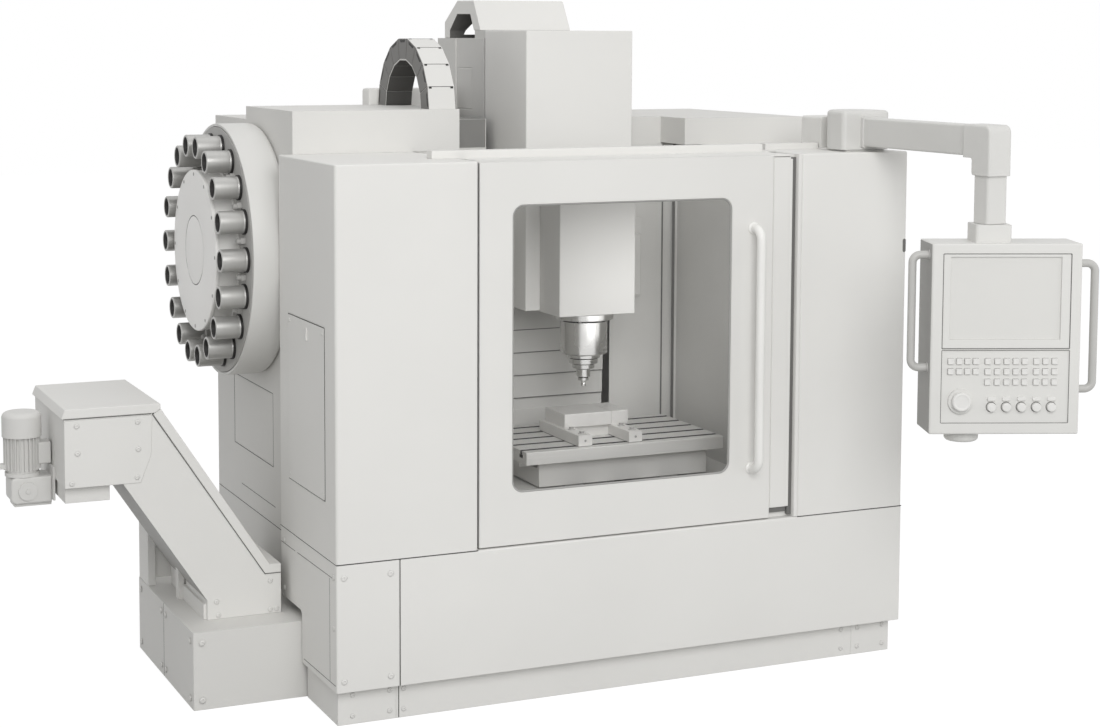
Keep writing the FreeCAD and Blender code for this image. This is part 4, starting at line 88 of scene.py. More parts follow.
# In degrees: edges that turn by more stay sharp, and faces that turn by less are merged.
MADE_CREASE = 32.0
TWIN_CREASE = 28.0
FLAT_TURN = 0.4

# A unit normal's share along an axis: above the first the face looks along it, below the second aside.
ALONG = 0.9
ASIDE = 0.5


# ---------------------------------------------------------------- directions and places
class Facing(Enum):
    """The way that a face of the machine looks: its outward normal."""

    LEFT = (-1.0, 0.0, 0.0)
    RIGHT = (1.0, 0.0, 0.0)
    FRONT = (0.0, -1.0, 0.0)
    UP = (0.0, 0.0, 1.0)
    DOWN = (0.0, 0.0, -1.0)


@dataclass(frozen=True)
class Spot:
    """A place on a face: a point, the face's outward normal and the direction that counts as up."""

    point: Point
    normal: Point
    up: Point = (0.0, 0.0, 1.0)

    def axes(self) -> Array:
        """The rows u (right), v (up) and n (out) of the face's own frame.

        Returns:
            The three unit vectors, as an array of shape (3, 3).
        """
        n = np.array(self.normal, float)
        n /= np.linalg.norm(n)
        up = np.array(self.up, float)
        nearly_parallel = 0.99
        if abs(n @ up) > nearly_parallel:
            up = np.array((0.0, 1.0, 0.0))
        u = np.cross(up, n)
        u /= np.linalg.norm(u)
        return np.stack((u, np.cross(n, u), n))

    def world(self, local: Array) -> Array:
        """Points given as (u, v, n) offsets from the spot, in the machine's frame."""
        return np.asarray(local, float) @ self.axes() + np.array(self.point)


def corners(node: str) -> tuple[Array, Array]:
    """The lowest and highest corner of a node of the frame."""
    low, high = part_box(node)
    return np.array(low), np.array(high)


CORNER = corners("base_casing")[0] * (1, 1, 0)


def at(x: float, y: float, z: float) -> Point:
    """A place given in millimetres from the machine's left front corner on the floor."""
    return tuple(CORNER + np.array((x, y, z)) * MM)


# ---------------------------------------------------------------- surfaces as arrays
@dataclass
class Shell:
    """A mesh as arrays: its points, its four-cornered faces and its flat end faces."""

    points: Array
    quads: Array
    ends: list[list[int]] = field(default_factory=list)

    def placed(self, spot: Spot) -> Shell:
        """The same shell with its own u, v, n axes laid on a spot."""
        return Shell(spot.world(self.points), self.quads, self.ends)

    def repeated(self, spots: Sequence[Spot]) -> Shell:
        """One copy of the shell on each spot, as one shell."""
        return merged([self.placed(spot) for spot in spots])

    def moved(self, offset: Sequence[float]) -> Shell:
        """The same shell moved by an offset."""
        return Shell(self.points + offset, self.quads, self.ends)


def merged(shells: Sequence[Shell]) -> Shell:
    """Several shells as one, with their face numbers moved on by the points before them.

    Args:
        shells: The shells to join.

    Returns:
        The one shell.
    """
    starts = np.cumsum([0] + [len(s.points) for s in shells])
    quads = [s.quads + start for s, start in zip(shells, starts)]
    ends = [[i + int(start) for i in end] for s, start in zip(shells, starts) for end in s.ends]
    return Shell(np.vstack([s.points for s in shells]), np.vstack(quads), ends)


def grid(points: Array, wrap_rows: bool = False, capped: bool = False) -> Shell:
    """A surface over a grid of points P(row, column), whose last column meets the first.

    Face (i, j) joins P(i, j), P(i, j+1), P(i+1, j+1) and P(i+1, j), counted round where the grid wraps.

    Args:
        points: The array of shape (rows, columns, 3).
        wrap_rows: Whether the last row meets the first.
        capped: Whether the first and the last row are closed with a flat face.

    Returns:
        The shell.
    """
    rows, columns = points.shape[:2]
    i = np.arange(rows if wrap_rows else rows - 1)[:, None]
    left = np.arange(columns)[None, :]
    right = (left + 1) % columns
    near, far = i * columns, ((i + 1) % rows) * columns
    quads = np.stack((near + left, near + right, far + right, far + left), -1).reshape(-1, 4)
    ends = []
    if capped:
        ends = [list(range(columns))[::-1], list(range((rows - 1) * columns, rows * columns))]
    return Shell(points.reshape(-1, 3), quads, ends)


def turned(profile: Sequence[Pair], steps: int, closed: bool = False) -> Shell:
    """A profile turned about the n axis: P(k, a) = (r_k cos a, r_k sin a, h_k).

    Args:
        profile: The (radius, height) pairs, along the profile.
        steps: How many facets go round.
        closed: Whether the profile is a loop, as for a ring.

    Returns:
        The shell, whose poles are welded later where a radius is zero.
    """
    radius, height = np.array(profile, float).T
    angle = np.linspace(0, 2 * math.pi, steps, endpoint=False)
    x = radius[:, None] * np.cos(angle)
    y = radius[:, None] * np.sin(angle)
    return grid(np.stack((x, y, np.broadcast_to(height[:, None], x.shape)), -1), wrap_rows=closed)


def washer(inner: float, outer: float, foot: float, top: float, steps: int) -> Shell:
    """A flat ring about the n axis, from a foot height to a top height."""
    return turned([(outer, foot), (outer, top), (inner, top), (inner, foot)], steps, closed=True)


def softened(profile: Sequence[Pair], radius: float, steps: int = 3, share: float = 0.45) -> list[Pair]:
    """A profile whose inner corners are rounded by short arcs.

    Each corner C is cut back by t = min(radius, share of the shorter leg) to A and B, and the curve
    (1-s)^2 A + 2 s (1-s) C + s^2 B runs between them.

    Args:
        profile: The (radius, height) pairs, along the profile.
        radius: How far a corner is cut back at most.
        steps: The number of facets at each corner.
        share: The share of a leg that a cut may take.

    Returns:
        The pairs of the softened profile.
    """
    points = np.array(profile, float)
    out = [points[0]]
    s = np.linspace(0, 1, steps + 1)[:, None]
    for before, corner, after in zip(points[:-2], points[1:-1], points[2:]):
        back, on = before - corner, after - corner
        reach = min(radius, share * np.linalg.norm(back), share * np.linalg.norm(on))
        a = corner + back / np.linalg.norm(back) * reach
        b = corner + on / np.linalg.norm(on) * reach
        out.extend((1 - s) ** 2 * a + 2 * s * (1 - s) * corner + s ** 2 * b)
    out.append(points[-1])
    return [tuple(p) for p in out]


def rounded_outline(width: float, height: float, radius: float, steps: int) -> Array:
    """A rectangle with round corners: each corner's centre plus radius times (cos a, sin a).

    Args:
        width: The outline's size along u.
        height: The outline's size along v.
        radius: The corner radius, which is kept under half the outline.
        steps: Facets of each corner.

    Returns:
        The (u, v) points, counter-clockwise from the right-hand side.
    """
    radius = min(radius, width / 2 - TINY, height / 2 - TINY)
    angle = np.linspace(0, math.pi / 2, steps + 1)
    turn = np.arange(4)[:, None] * math.pi / 2 + angle
    sign = np.array(((1, 1), (-1, 1), (-1, -1), (1, -1)), float)
    centre = sign * (width / 2 - radius, height / 2 - radius)
    arc = np.stack((np.cos(turn), np.sin(turn)), -1) * radius
    return (centre[:, None, :] + arc).reshape(-1, 2)


def layered(width: float, height: float, radius: float, layers: Sequence[Pair],
            closed: bool = False, steps: int = 6) -> Shell:
    """A stack of rounded outlines: layer k is pulled in by d_k on every side and lies at height h_k.

    Args:
        width: The outline's size along u.
        height: The outline's size along v.
        radius: The corner radius of the layer that isn't pulled in.
        layers: The (d, h) pairs from the foot up. A negative d grows the outline.
        closed: Whether the layers are the section of a ring, whose last layer meets the first.
        steps: Facets of each corner.

    Returns:
        The shell, with flat ends unless it is a ring.
    """
    rows = []
    smallest = 1e-4
    for inset, lift in layers:
        outline = rounded_outline(width - 2 * inset, height - 2 * inset, max(radius - inset, smallest), steps)
        rows.append(np.column_stack((outline, np.full(len(outline), lift))))
    return grid(np.array(rows), wrap_rows=closed, capped=not closed)


def block(box: Box, rounding: float = 0.002, top: Sequence[Pair] = ((0.0, 0.0),), steps: int = 2) -> Shell:
    """An upright block with rounded edges, in millimetres from the machine's left front corner.

    Args:
        box: Its lowest and highest x, y and z, as (x0, x1, y0, y1, z0, z1).
        rounding: The radius of its upright edges in metres.
        top: The upper edge, as pairs of how far it is pulled in and how far it lies under the top.
        steps: Facets of each upright edge.

    Returns:
        The shell.
    """
    x0, x1, y0, y1, z0, z1 = box
    layers = [(0.0, z0 * MM), *((inset, z1 * MM - drop) for inset, drop in top)]
    bar = layered((x1 - x0) * MM, (y1 - y0) * MM, rounding, layers, steps=steps)
    return bar.moved(at((x0 + x1) / 2, (y0 + y1) / 2, 0))


def bent_path(points: Sequence[Point], bend: float, steps: int = 10) -> Array:
    """Straight runs through points, joined by tangent arcs of one bend radius.

    At a corner that turns by w, the arc leaves the run at t = bend tan(w/2) before it, and its points are
    C + bend (cos a p + sin a q) about the centre C, for a from 0 to w.

    Args:
        points: The corners of the path, from end to end.
        bend: The radius of each bend.
        steps: Facets of each bend.

    Returns:
        The path's points, of shape (points, 3).
    """
    corner = np.array(points, float)
    path = [corner[:1]]
    for before, middle, after in zip(corner[:-2], corner[1:-1], corner[2:]):
        a = (middle - before) / np.linalg.norm(middle - before)
        b = (after - middle) / np.linalg.norm(after - middle)
        turn = math.acos(float(np.clip(a @ b, -1, 1)))
        start = middle - a * bend * math.tan(turn / 2)
        inward = b - a * (a @ b)
        inward /= np.linalg.norm(inward)
        angle = np.linspace(0, turn, steps + 1)[:, None]
        path.append(start + inward * bend + bend * (np.sin(angle) * a - np.cos(angle) * inward))
    path.append(corner[-1:])
    return np.vstack(path)


def swept(path: Array, normal: Point, section: Array) -> Shell:
    """A closed section carried along a flat path: P(s, t) = path(s) + x(t) side(s) + y(t) normal.

    Args:
        path: Points of the centre line, all in one plane.
        normal: That plane's normal.
        section: The (x, y) points of the section.

    Returns:
        The shell with flat ends.
    """
    tangent = np.gradient(path, axis=0)
    tangent /= np.linalg.norm(tangent, axis=1)[:, None]
    across = np.array(normal, float) / np.linalg.norm(normal)
    side = np.cross(tangent, across)
    side /= np.linalg.norm(side, axis=1)[:, None]
    points = path[:, None, :] + section[None, :, :1] * side[:, None, :] + section[None, :, 1:] * across
    return grid(points, capped=True)


def circle(radius: float, steps: int) -> Array:
    """The points of a circle: radius times (cos a, sin a)."""
    angle = np.linspace(0, 2 * math.pi, steps, endpoint=False)
    return radius * np.column_stack((np.cos(angle), np.sin(angle)))


def button_head(radius: float, height: float) -> Shell:
    """A low screw head with a round socket, sixteen-sided, standing on n = 0.

    Args:
        radius: Its radius.
        height: Its height.

    Returns:
        The shell.
    """
    shares = np.array(((1.0, -0.2), (1.0, 0.35), (0.86, 0.8), (0.62, 1.0), (0.42, 1.0), (0.42, 0.45),
                       (0.0, 0.45)))
    return turned(shares * (radius, height), 16)


# ---------------------------------------------------------------- finishes
class Slot(Enum):
    """The record's material slots."""

    PAINT = "painted_sheet"
    LINING = "chamber_sheet"
    CASTING = "casting"
    IRON = "table_iron"
    STEEL = "machined_steel"
    BILLET = "aluminium_billet"
    MOTOR = "motor_paint"
    WINDOW = "window_glass"
    SCREEN = "screen_glass"
    GRIP = "handle_metal"
    CHAIN = "chain_plastic"
    KEY = "key_plastic"


def colour_mix(tree: bpy.types.NodeTree, factor: bpy.types.NodeSocket, first: Colour,
               second: Colour) -> bpy.types.NodeSocket:
    """A node that mixes two colours.

    Args:
        tree: The node tree that it goes into.
        factor: 0 for the first colour and 1 for the second.
        first: The first colour.
        second: The second colour.

    Returns:
        The mixed colour's socket.
    """
    # The node's sockets share their names among the kinds of value, so the colour ones go by number.
    first_socket, second_socket, result_socket = 6, 7, 2
    mix = tree.nodes.new("ShaderNodeMix")
    mix.data_type = "RGBA"
    tree.links.new(factor, mix.inputs[0])
    mix.inputs[first_socket].default_value = (*first, 1.0)
    mix.inputs[second_socket].default_value = (*second, 1.0)
    return mix.outputs[result_socket]


class Graph:
    """A small helper that writes a material's nodes."""

    def __init__(self, name: str) -> None:
        """Starts a material with one shader.

        Args:
            name: The material's name.
        """
        self.material = bpy.data.materials.new(name)
        self.material.use_nodes = True
        self.tree = self.material.node_tree
        self.shader = self.tree.nodes["Principled BSDF"]
        self.place = self.node("ShaderNodeTexCoord").outputs["Object"]

    def node(self, kind: str, **sockets: object) -> bpy.types.ShaderNode:
        """Adds a node.

        Args:
            kind: The node's type.
            **sockets: A value or a link for each socket named, where a _ stands for a space.

        Returns:
            The node.
        """
        node = self.tree.nodes.new(kind)
        for name, value in sockets.items():
            socket = node.inputs[name.replace("_", " ")]
            if isinstance(value, bpy.types.NodeSocket):
                self.tree.links.new(value, socket)
            else:
                socket.default_value = value
        return node

    def stretched(self, scale: Point) -> bpy.types.NodeSocket:
        """The piece's own coordinates, stretched along X, Y and Z."""
        return self.node("ShaderNodeMapping", Vector=self.place, Scale=scale).outputs["Vector"]

    def noise(self, scale: Point, detail: float = 2.0) -> bpy.types.NodeSocket:
        """Smooth noise from 0 to 1, with so many waves to the metre on each axis."""
        texture = self.node("ShaderNodeTexNoise", Vector=self.stretched(scale), Scale=1.0, Detail=detail)
        return texture.outputs["Fac"]

    def ranged(self, value: bpy.types.NodeSocket, low: float, high: float,
               start: float = 0.3, end: float = 0.7) -> bpy.types.NodeSocket:
        """Spreads a value over a range.

        Args:
            value: The value to spread.
            low: The result at the start.
            high: The result at the end.
            start: The value at which the result is low.
            end: The value at which the result is high.

        Returns:
            The result's socket.
        """
        spread = self.node("ShaderNodeMapRange", Value=value, From_Min=start, From_Max=end, To_Min=low,
                           To_Max=high)
        return spread.outputs["Result"]

    def blended(self, factor: bpy.types.NodeSocket, first: Colour, second: Colour) -> bpy.types.NodeSocket:
        """A colour between two, by a factor."""
        return colour_mix(self.tree, factor, first, second)

    def relief(self, height: bpy.types.NodeSocket, depth: float, edge: float) -> None:
        """Gives the shader a fine relief and softly rounded edges.

        Args:
            height: The relief's height, from 0 to 1.
            depth: How deep the relief is.
            edge: The radius of the rounded edges.
        """
        rounding = self.tree.nodes.new("ShaderNodeBevel")
        rounding.samples = 4
        rounding.inputs["Radius"].default_value = edge
        bump = self.node("ShaderNodeBump", Height=height, Distance=depth, Strength=1.0)
        self.tree.links.new(rounding.outputs["Normal"], bump.inputs["Normal"])
        self.tree.links.new(bump.outputs["Normal"], self.shader.inputs["Normal"])

    def paint(self, colour: bpy.types.NodeSocket, roughness: bpy.types.NodeSocket) -> None:
        """Feeds the shader's colour and roughness."""
        self.tree.links.new(colour, self.shader.inputs["Base Color"])
        self.tree.links.new(roughness, self.shader.inputs["Roughness"])


def scaled(colour: Colour, share: float) -> Colour:
    """A colour made lighter or darker by a share."""
    return tuple(min(1.0, c * share) for c in colour)


@dataclass(frozen=True)
class Finish:
    """What every finish has: a name, a colour and a roughness."""

    name: str
    colour: Colour
    roughness: float

    def material(self) -> bpy.types.Material:
        """The finish as a material, made once."""
        known = bpy.data.materials.get(self.name)
        return known if known else self.make()

    def make(self) -> bpy.types.Material:
        """Writes the nodes."""
        raise NotImplementedError


@dataclass(frozen=True)
class Paint(Finish):
    """Powder coat or moulded plastic: cloudy tone, fine orange peel, softly rounded edges."""

    tone: float = 0.02
    cloud: float = 1.6
    peel: float = 420.0
    depth: float = 0.00012
    edge: float = 0.003

    def make(self) -> bpy.types.Material:
        """Tone and roughness follow a slow cloud, and the relief is a fine even noise.

        Returns:
            The material.
        """
        graph = Graph(self.name)
        slow = graph.noise((self.cloud,) * 3, 4.0)
        light, dark = scaled(self.colour, 1 + self.tone), scaled(self.colour, 1 - self.tone)
        graph.paint(graph.blended(graph.ranged(slow, 0.0, 1.0), dark, light),
                    graph.ranged(slow, self.roughness - 0.04, self.roughness + 0.05))
        graph.relief(graph.noise((self.peel,) * 3), self.depth, self.edge)
        graph.shader.inputs["Specular IOR Level"].default_value = 0.35
        return graph.material


@dataclass(frozen=True)
class Machined(Finish):
    """Bare metal with tool marks that run across one direction."""

    marks: Point = (8.0, 8.0, 900.0)
    tone: float = 0.06
    depth: float = 0.00003
    edge: float = 0.0012
    metallic: float = 1.0

    def make(self) -> bpy.types.Material:
        """Fine marks colour the metal a little and stand up a few hundredths, over a slow cloud.

        Returns:
            The material.
        """
        graph = Graph(self.name)
        marks = graph.noise(self.marks, 3.0)
        cloud = graph.noise((9.0,) * 3, 3.0)
        dark, light = scaled(self.colour, 1 - self.tone), scaled(self.colour, 1 + self.tone)
        graph.paint(graph.blended(marks, dark, light),
                    graph.ranged(cloud, self.roughness * 0.85, self.roughness * 1.2))
        graph.relief(marks, self.depth, self.edge)
        graph.shader.inputs["Metallic"].default_value = self.metallic
        return graph.material


@dataclass(frozen=True)
class Pane(Finish):
    """A clear or nearly clear pane with a faint film on it."""

    alpha: float = 0.06

    def make(self) -> bpy.types.Material:
        """The film is a slow cloud in the roughness.

        Returns:
            The material.
        """
        graph = Graph(self.name)
        film = graph.noise((2.5,) * 3, 3.0)
        graph.paint(graph.blended(film, scaled(self.colour, 0.97), self.colour),
                    graph.ranged(film, self.roughness, self.roughness + 0.04))
        graph.shader.inputs["Alpha"].default_value = self.alpha
        graph.shader.inputs["Specular IOR Level"].default_value = 0.3
        return graph.material


SHEET_PAINT = Paint("coat_warm_white", (0.735, 0.728, 0.705), 0.55)
HOUSING_PAINT = Paint("coat_housing", (0.69, 0.683, 0.66), 0.58)
LINING_PAINT = Paint("coat_lining", (0.66, 0.654, 0.632), 0.5, tone=0.05, cloud=2.4, depth=0.00003)
CAST_PAINT = Paint("coat_casting", (0.60, 0.594, 0.575), 0.6, peel=160.0, depth=0.0004)
MOTOR_PAINT = Paint("coat_motor", (0.66, 0.654, 0.635), 0.55, peel=300.0, edge=0.0015)
KEY_MOULDING = Paint("moulded_key", (0.72, 0.714, 0.695), 0.45, peel=700.0, depth=0.00006, edge=0.001)
CHAIN_LID = Paint("moulded_chain_lid", (0.70, 0.694, 0.672), 0.5, peel=500.0, edge=0.0015)
CHAIN_SIDE = Paint("moulded_chain_side", (0.165, 0.161, 0.154), 0.5, tone=0.08, cloud=7.0, peel=500.0,
                   edge=0.0008)
CHAIN_INNER = Paint("moulded_chain_inner", (0.075, 0.073, 0.069), 0.55, tone=0.1, cloud=9.0, peel=500.0,
                    edge=0.0008)
DARK_SEAM = Paint("dark_seam", (0.035, 0.034, 0.032), 0.6, tone=0.1, peel=500.0, edge=0.0004)
# Lighter than the casing's paint: the cover's own light paint, made lighter still as painted light on its
# left-facing face.
COVER_PAINT_AND_LIGHT = Paint("coat_cover_painted_light", (0.86, 0.85, 0.828), 0.4, tone=0.01)
# Painted shade: a dark coat on the bay behind the left cabinet's top, where shade falls.
BAY_SHADE = Paint("painted_bay_shade", (0.24, 0.237, 0.228), 0.6, tone=0.03)
PANEL_PAINT = Paint("coat_panel", (0.68, 0.675, 0.653), 0.45)
# Dark fine lines: real joints and wipers, and painted shadow round the panel's keys, buttons and dial.
FINE_SEAM_AND_SHADOW = Paint("fine_seam_and_shadow", (0.13, 0.128, 0.123), 0.6, tone=0.1, peel=500.0, edge=0.0004)
ARM_PAINT = Paint("coat_arm", (0.64, 0.635, 0.615), 0.45)
SHADE_PAINT = Paint("coat_shaded", (0.37, 0.366, 0.353), 0.6, tone=0.03)
# Dark rubber for the chamber's corner joints, and painted shade in the door post's groove, the cabinet's edge
# recess and at the post's foot.
SEAL_RUBBER_AND_SHADE = Paint("rubber_seal_and_shade", (0.15, 0.148, 0.142), 0.6, tone=0.08, peel=600.0, edge=0.001)
# Near black: painted shade in the T-slots, along their lips and in the spindle's undercuts.
RECESS_SHADE = Paint("painted_recess_shade", (0.045, 0.044, 0.042), 0.6, tone=0.1, peel=300.0, edge=0.0004)
# Painted shade: the panel housing's left side is tinted darker because less light falls on it.
PANEL_SIDE_SHADE = Paint("painted_panel_side_shade", (0.37, 0.367, 0.356), 0.55)
HANDLE_PAINT = Paint("coat_handle", (0.84, 0.834, 0.81), 0.35, cloud=5.0, peel=600.0, depth=0.00005)
# Painted shade: the column hood's inside is tinted dark where shade falls in it.
HOOD_INSIDE_SHADE = Paint("painted_hood_shade", (0.15, 0.147, 0.14), 0.6, tone=0.08, cloud=5.0)
GASKET = Paint("grey_gasket", (0.36, 0.356, 0.345), 0.55, peel=600.0, edge=0.001)
TUBE_PAINT = Paint("satin_tube", (0.49, 0.485, 0.468), 0.38, tone=0.03, cloud=5.0, peel=600.0, depth=0.00005)
TABLE_IRON = Machined("ground_iron", (0.66, 0.654, 0.633), 0.5, marks=(4.0, 320.0, 320.0), metallic=0.25,
                      tone=0.1)
BLOCK_METAL = Machined("milled_block", (0.74, 0.73, 0.71), 0.42, marks=(30.0, 480.0, 30.0), metallic=0.25)
SPINDLE_STEEL = Machined("polished_steel", (0.66, 0.655, 0.64), 0.25, marks=(2.0, 2.0, 900.0), depth=0.000002,
                         edge=0.0004)
RAIL_STEEL = Machined("ground_steel", (0.60, 0.595, 0.58), 0.3, marks=(60.0, 60.0, 60.0))
POT_STEEL = Machined("turned_pot", (0.43, 0.426, 0.412), 0.4, marks=(700.0, 3.0, 3.0), metallic=0.5)
# Painted shade: the drum's paint made darker for the wheel's plate, grips and pins, which lie in the pots'
# shade.
SHADED_WHEEL_PAINT = Paint("wheel_painted_shade", (0.40, 0.395, 0.38), 0.5, tone=0.05, cloud=4.0)
# Near black: the collars' own dark finish, and painted shade inside the pots' bores.
POT_DARK_AND_SHADE = Machined("dark_collar_and_bore_shade", (0.03, 0.029, 0.028), 0.5, marks=(500.0, 3.0, 3.0), metallic=0.5)
WINDOW_PANE = Pane("clear_pane", (0.30, 0.30, 0.296), 0.04, alpha=0.04)
SCREEN_FACE = Paint("screen_face", (0.67, 0.665, 0.642), 0.22, tone=0.01, peel=900.0, depth=0.00001,
                    edge=0.001)

FINISH_OF = {
    Slot.PAINT: SHEET_PAINT, Slot.LINING: LINING_PAINT, Slot.CASTING: CAST_PAINT, Slot.IRON: TABLE_IRON,
    Slot.STEEL: RAIL_STEEL, Slot.BILLET: BLOCK_METAL, Slot.MOTOR: MOTOR_PAINT, Slot.WINDOW: WINDOW_PANE,
    Slot.SCREEN: SCREEN_FACE, Slot.GRIP: TUBE_PAINT, Slot.CHAIN: CHAIN_LID, Slot.KEY: KEY_MOULDING,
}


# ---------------------------------------------------------------- pieces
@dataclass
class Piece:
    """One finished piece: its object, the body that carries it and its slot."""

    obj: bpy.types.Object
    body: str
    slot: Slot

    def dress(self, finish: Finish | None = None) -> Piece:
        """Gives the piece its finish, or its slot's own where none is named.

        Args:
            finish: The finish, or None for the slot's own.

        Returns:
            The piece itself.
        """
        self.obj.data.materials.clear()
        self.obj.data.materials.append((finish or FINISH_OF[self.slot]).material())
        return self

    def faces(self) -> tuple[Array, Array]:
        """The centre and the outward normal of each face, as two arrays of shape (faces, 3).

        Returns:
            The centres and the normals.
        """
        polygons = self.obj.data.polygons
        centre = np.empty(len(polygons) * 3, np.float32)
        normal = np.empty(len(polygons) * 3, np.float32)
        polygons.foreach_get("center", centre)
        polygons.foreach_get("normal", normal)
        return centre.reshape(-1, 3), normal.reshape(-1, 3)

    def tint(self, mask: Array, finish: Finish) -> Piece:
        """Gives another finish to the faces where a mask is true.

        Args:
            mask: True or false for each face.
            finish: Their finish.

        Returns:
            The piece itself.
        """
        mesh = self.obj.data
        mesh.materials.append(finish.material())
        index = np.zeros(len(mesh.polygons), np.int32)
        mesh.polygons.foreach_get("material_index", index)
        index[mask] = len(mesh.materials) - 1
        mesh.polygons.foreach_set("material_index", index)
        return self

    def edged(self, width: float, segments: int = 2, angle: float = 40.0) -> Piece:
        """Rounds the edges that turn by more than an angle with a live bevel.

        Args:
            width: The width of the rounding.
            segments: Its facets.
            angle: The angle in degrees.

        Returns:
            The piece itself.
        """
        bevel = self.obj.modifiers.new("edges", "BEVEL")
        bevel.width = width
        bevel.segments = segments
        bevel.limit_method = "ANGLE"
        bevel.angle_limit = math.radians(angle)
        bevel.harden_normals = True
        return self


def tidy_mesh(mesh: bpy.types.Mesh, crease: float, dissolve: bool) -> None:
    """Welds a mesh, turns its faces outwards and marks the edges sharper than a crease angle.

    Args:
        mesh: The mesh to tidy.
        crease: The angle in degrees above which an edge is sharp.
        dissolve: Whether flat neighbours are merged to one face.
    """
    work = bmesh.new()
    work.from_mesh(mesh)
    bmesh.ops.remove_doubles(work, verts=work.verts, dist=WELD)
    if dissolve:
        bmesh.ops.dissolve_limit(work, angle_limit=math.radians(FLAT_TURN), verts=work.verts,
                                 edges=work.edges)
    else:
        bmesh.ops.recalc_face_normals(work, faces=work.faces)
    work.to_mesh(mesh)
    work.free()
    mesh.shade_smooth()
    mesh.set_sharp_from_angle(angle=math.radians(crease))


def made(name: str, shell: Shell, body: str, slot: Slot, stands_for: Sequence[str] = ()) -> Piece:
    """A piece from a shell, riding on a body.

    Args:
        name: The piece's name.
        shell: Its surface in the machine's frame.
        body: The body that carries it.
        slot: The record's material slot.
        stands_for: The frame's nodes that it replaces.

    Returns:
        The piece, not yet dressed.
    """
    mesh = bpy.data.meshes.new(name)
    mesh.from_pydata(shell.points.tolist(), [], shell.quads.tolist() + shell.ends)
    tidy_mesh(mesh, MADE_CREASE, dissolve=False)
    obj = bpy.data.objects.new(name, mesh)
    bpy.context.scene.collection.objects.link(obj)
    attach(obj, body)
    if stands_for:
        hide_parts(*stands_for)
    return Piece(obj, body, slot)


def body_of(node: str) -> str:
    """The body that carries a node."""
    return frame["nodes"][node]["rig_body"]


def slot_of(node: str) -> Slot:
    """The material slot that the record gives a node."""
    return next(Slot(part["material_slot"]) for part in frame["record"]["subparts"] if part["node"] == node)


def refined(node: str, crease: float) -> Piece:
    """A finer twin of a frame's node: the same surface, welded, with smooth curves and real edges.

    Args:
        node: The node, which the twin replaces.
        crease: The angle in degrees above which an edge is sharp.

    Returns:
        The twin on its node's body and in its node's slot, not yet dressed.
    """
    source = frame["nodes"][node].data
    places = np.empty(len(source.vertices) * 3, np.float32)
    source.vertices.foreach_get("co", places)
    index = np.empty(len(source.loops), np.int32)
    source.loops.foreach_get("vertex_index", index)
    mesh = bpy.data.meshes.new(node + "_form")
    mesh.from_pydata(places.reshape(-1, 3).tolist(), [], index.reshape(-1, 3).tolist())
    tidy_mesh(mesh, crease, dissolve=True)
    obj = bpy.data.objects.new(node + "_form", mesh)
    bpy.context.scene.collection.objects.link(obj)
    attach(obj, body_of(node))
    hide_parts(node)
    return Piece(obj, body_of(node), slot_of(node))


def screws(name: str, spots: Sequence[Spot], body: str = FIXED, radius: float = 0.009, height: float = 0.003,
           slot: Slot = Slot.PAINT) -> Piece:
    """A set of equal screw heads on their spots, each in a dark seat ring, as one piece.

    Args:
        name: The piece's name.
        spots: Where the heads stand.
        body: The body that carries them.
        radius: A head's radius.
        height: A head's height.
        slot: The record's material slot.

    Returns:
        The piece, whose seat rings are tinted.
    """
    seat = washer(radius * 0.98, radius * 1.26, -0.0002, 0.0005, 24)
    shells = [button_head(radius, height).repeated(spots), seat.repeated(spots)]
    heads = made(name, merged(shells), body, slot)
    places = np.array([spot.point for spot in spots])
    away = heads.faces()[0][:, None] - places
    axes = np.array([spot.normal for spot in spots])
    away -= (away * axes).sum(-1, keepdims=True) * axes
    return heads.tint(np.linalg.norm(away, axis=-1).min(axis=1) > radius * 1.01, GASKET)


def faced(places: Sequence[Point], facing: Facing) -> list[Spot]:
    """A spot on each place given in millimetres, all facing one way."""
    return [Spot(at(*place), facing.value) for place in places]


def strip(start: Point, end: Point, normal: Point, width: float, rise: float = 0.0004) -> Shell:
    """A thin flat bar along a line on a face, a little sunk into it and a little proud.

    Args:
        start: Where it starts.
        end: Where it ends.
        normal: The face's outward normal.
        width: Its width across the line.
        rise: How far it stands proud.

    Returns:
        The bar's shell.
    """
    sink, corner, share = 0.0003, 0.0006, 0.2
    run = np.array(end, float) - np.array(start, float)
    length = float(np.linalg.norm(run))
    bar = layered(width, length, min(share * width, corner), [(0.0, -sink), (0.0, rise)], steps=1)
    return bar.placed(Spot(tuple(np.array(start) + run / 2), normal, tuple(run / length)))


def seam(line: Line, facing: Facing, width: float, rise: float = 0.0004) -> Shell:
    """A strip along a line given in millimetres on a face of the machine."""
    return strip(at(*line[0]), at(*line[1]), facing.value, width, rise)


def border(diagonal: Line, facing: Facing, width: float) -> list[Shell]:
    """Four strips round a rectangle on an upright face.

    Args:
        diagonal: The rectangle's lowest and highest corner in millimetres, both in the face's plane.
        facing: The way that the face looks.
        width: The strips' width.

    Returns:
        The four shells.
    """
    across = 1 if facing in (Facing.LEFT, Facing.RIGHT) else 0
    low, high = (np.array(at(*corner), float) for corner in diagonal)
    points = [low.copy() for _ in range(4)]
    points[1][across] = points[2][across] = high[across]
    points[2][2] = points[3][2] = high[2]
    return [strip(tuple(points[k]), tuple(points[(k + 1) % 4]), facing.value, width) for k in range(4)]


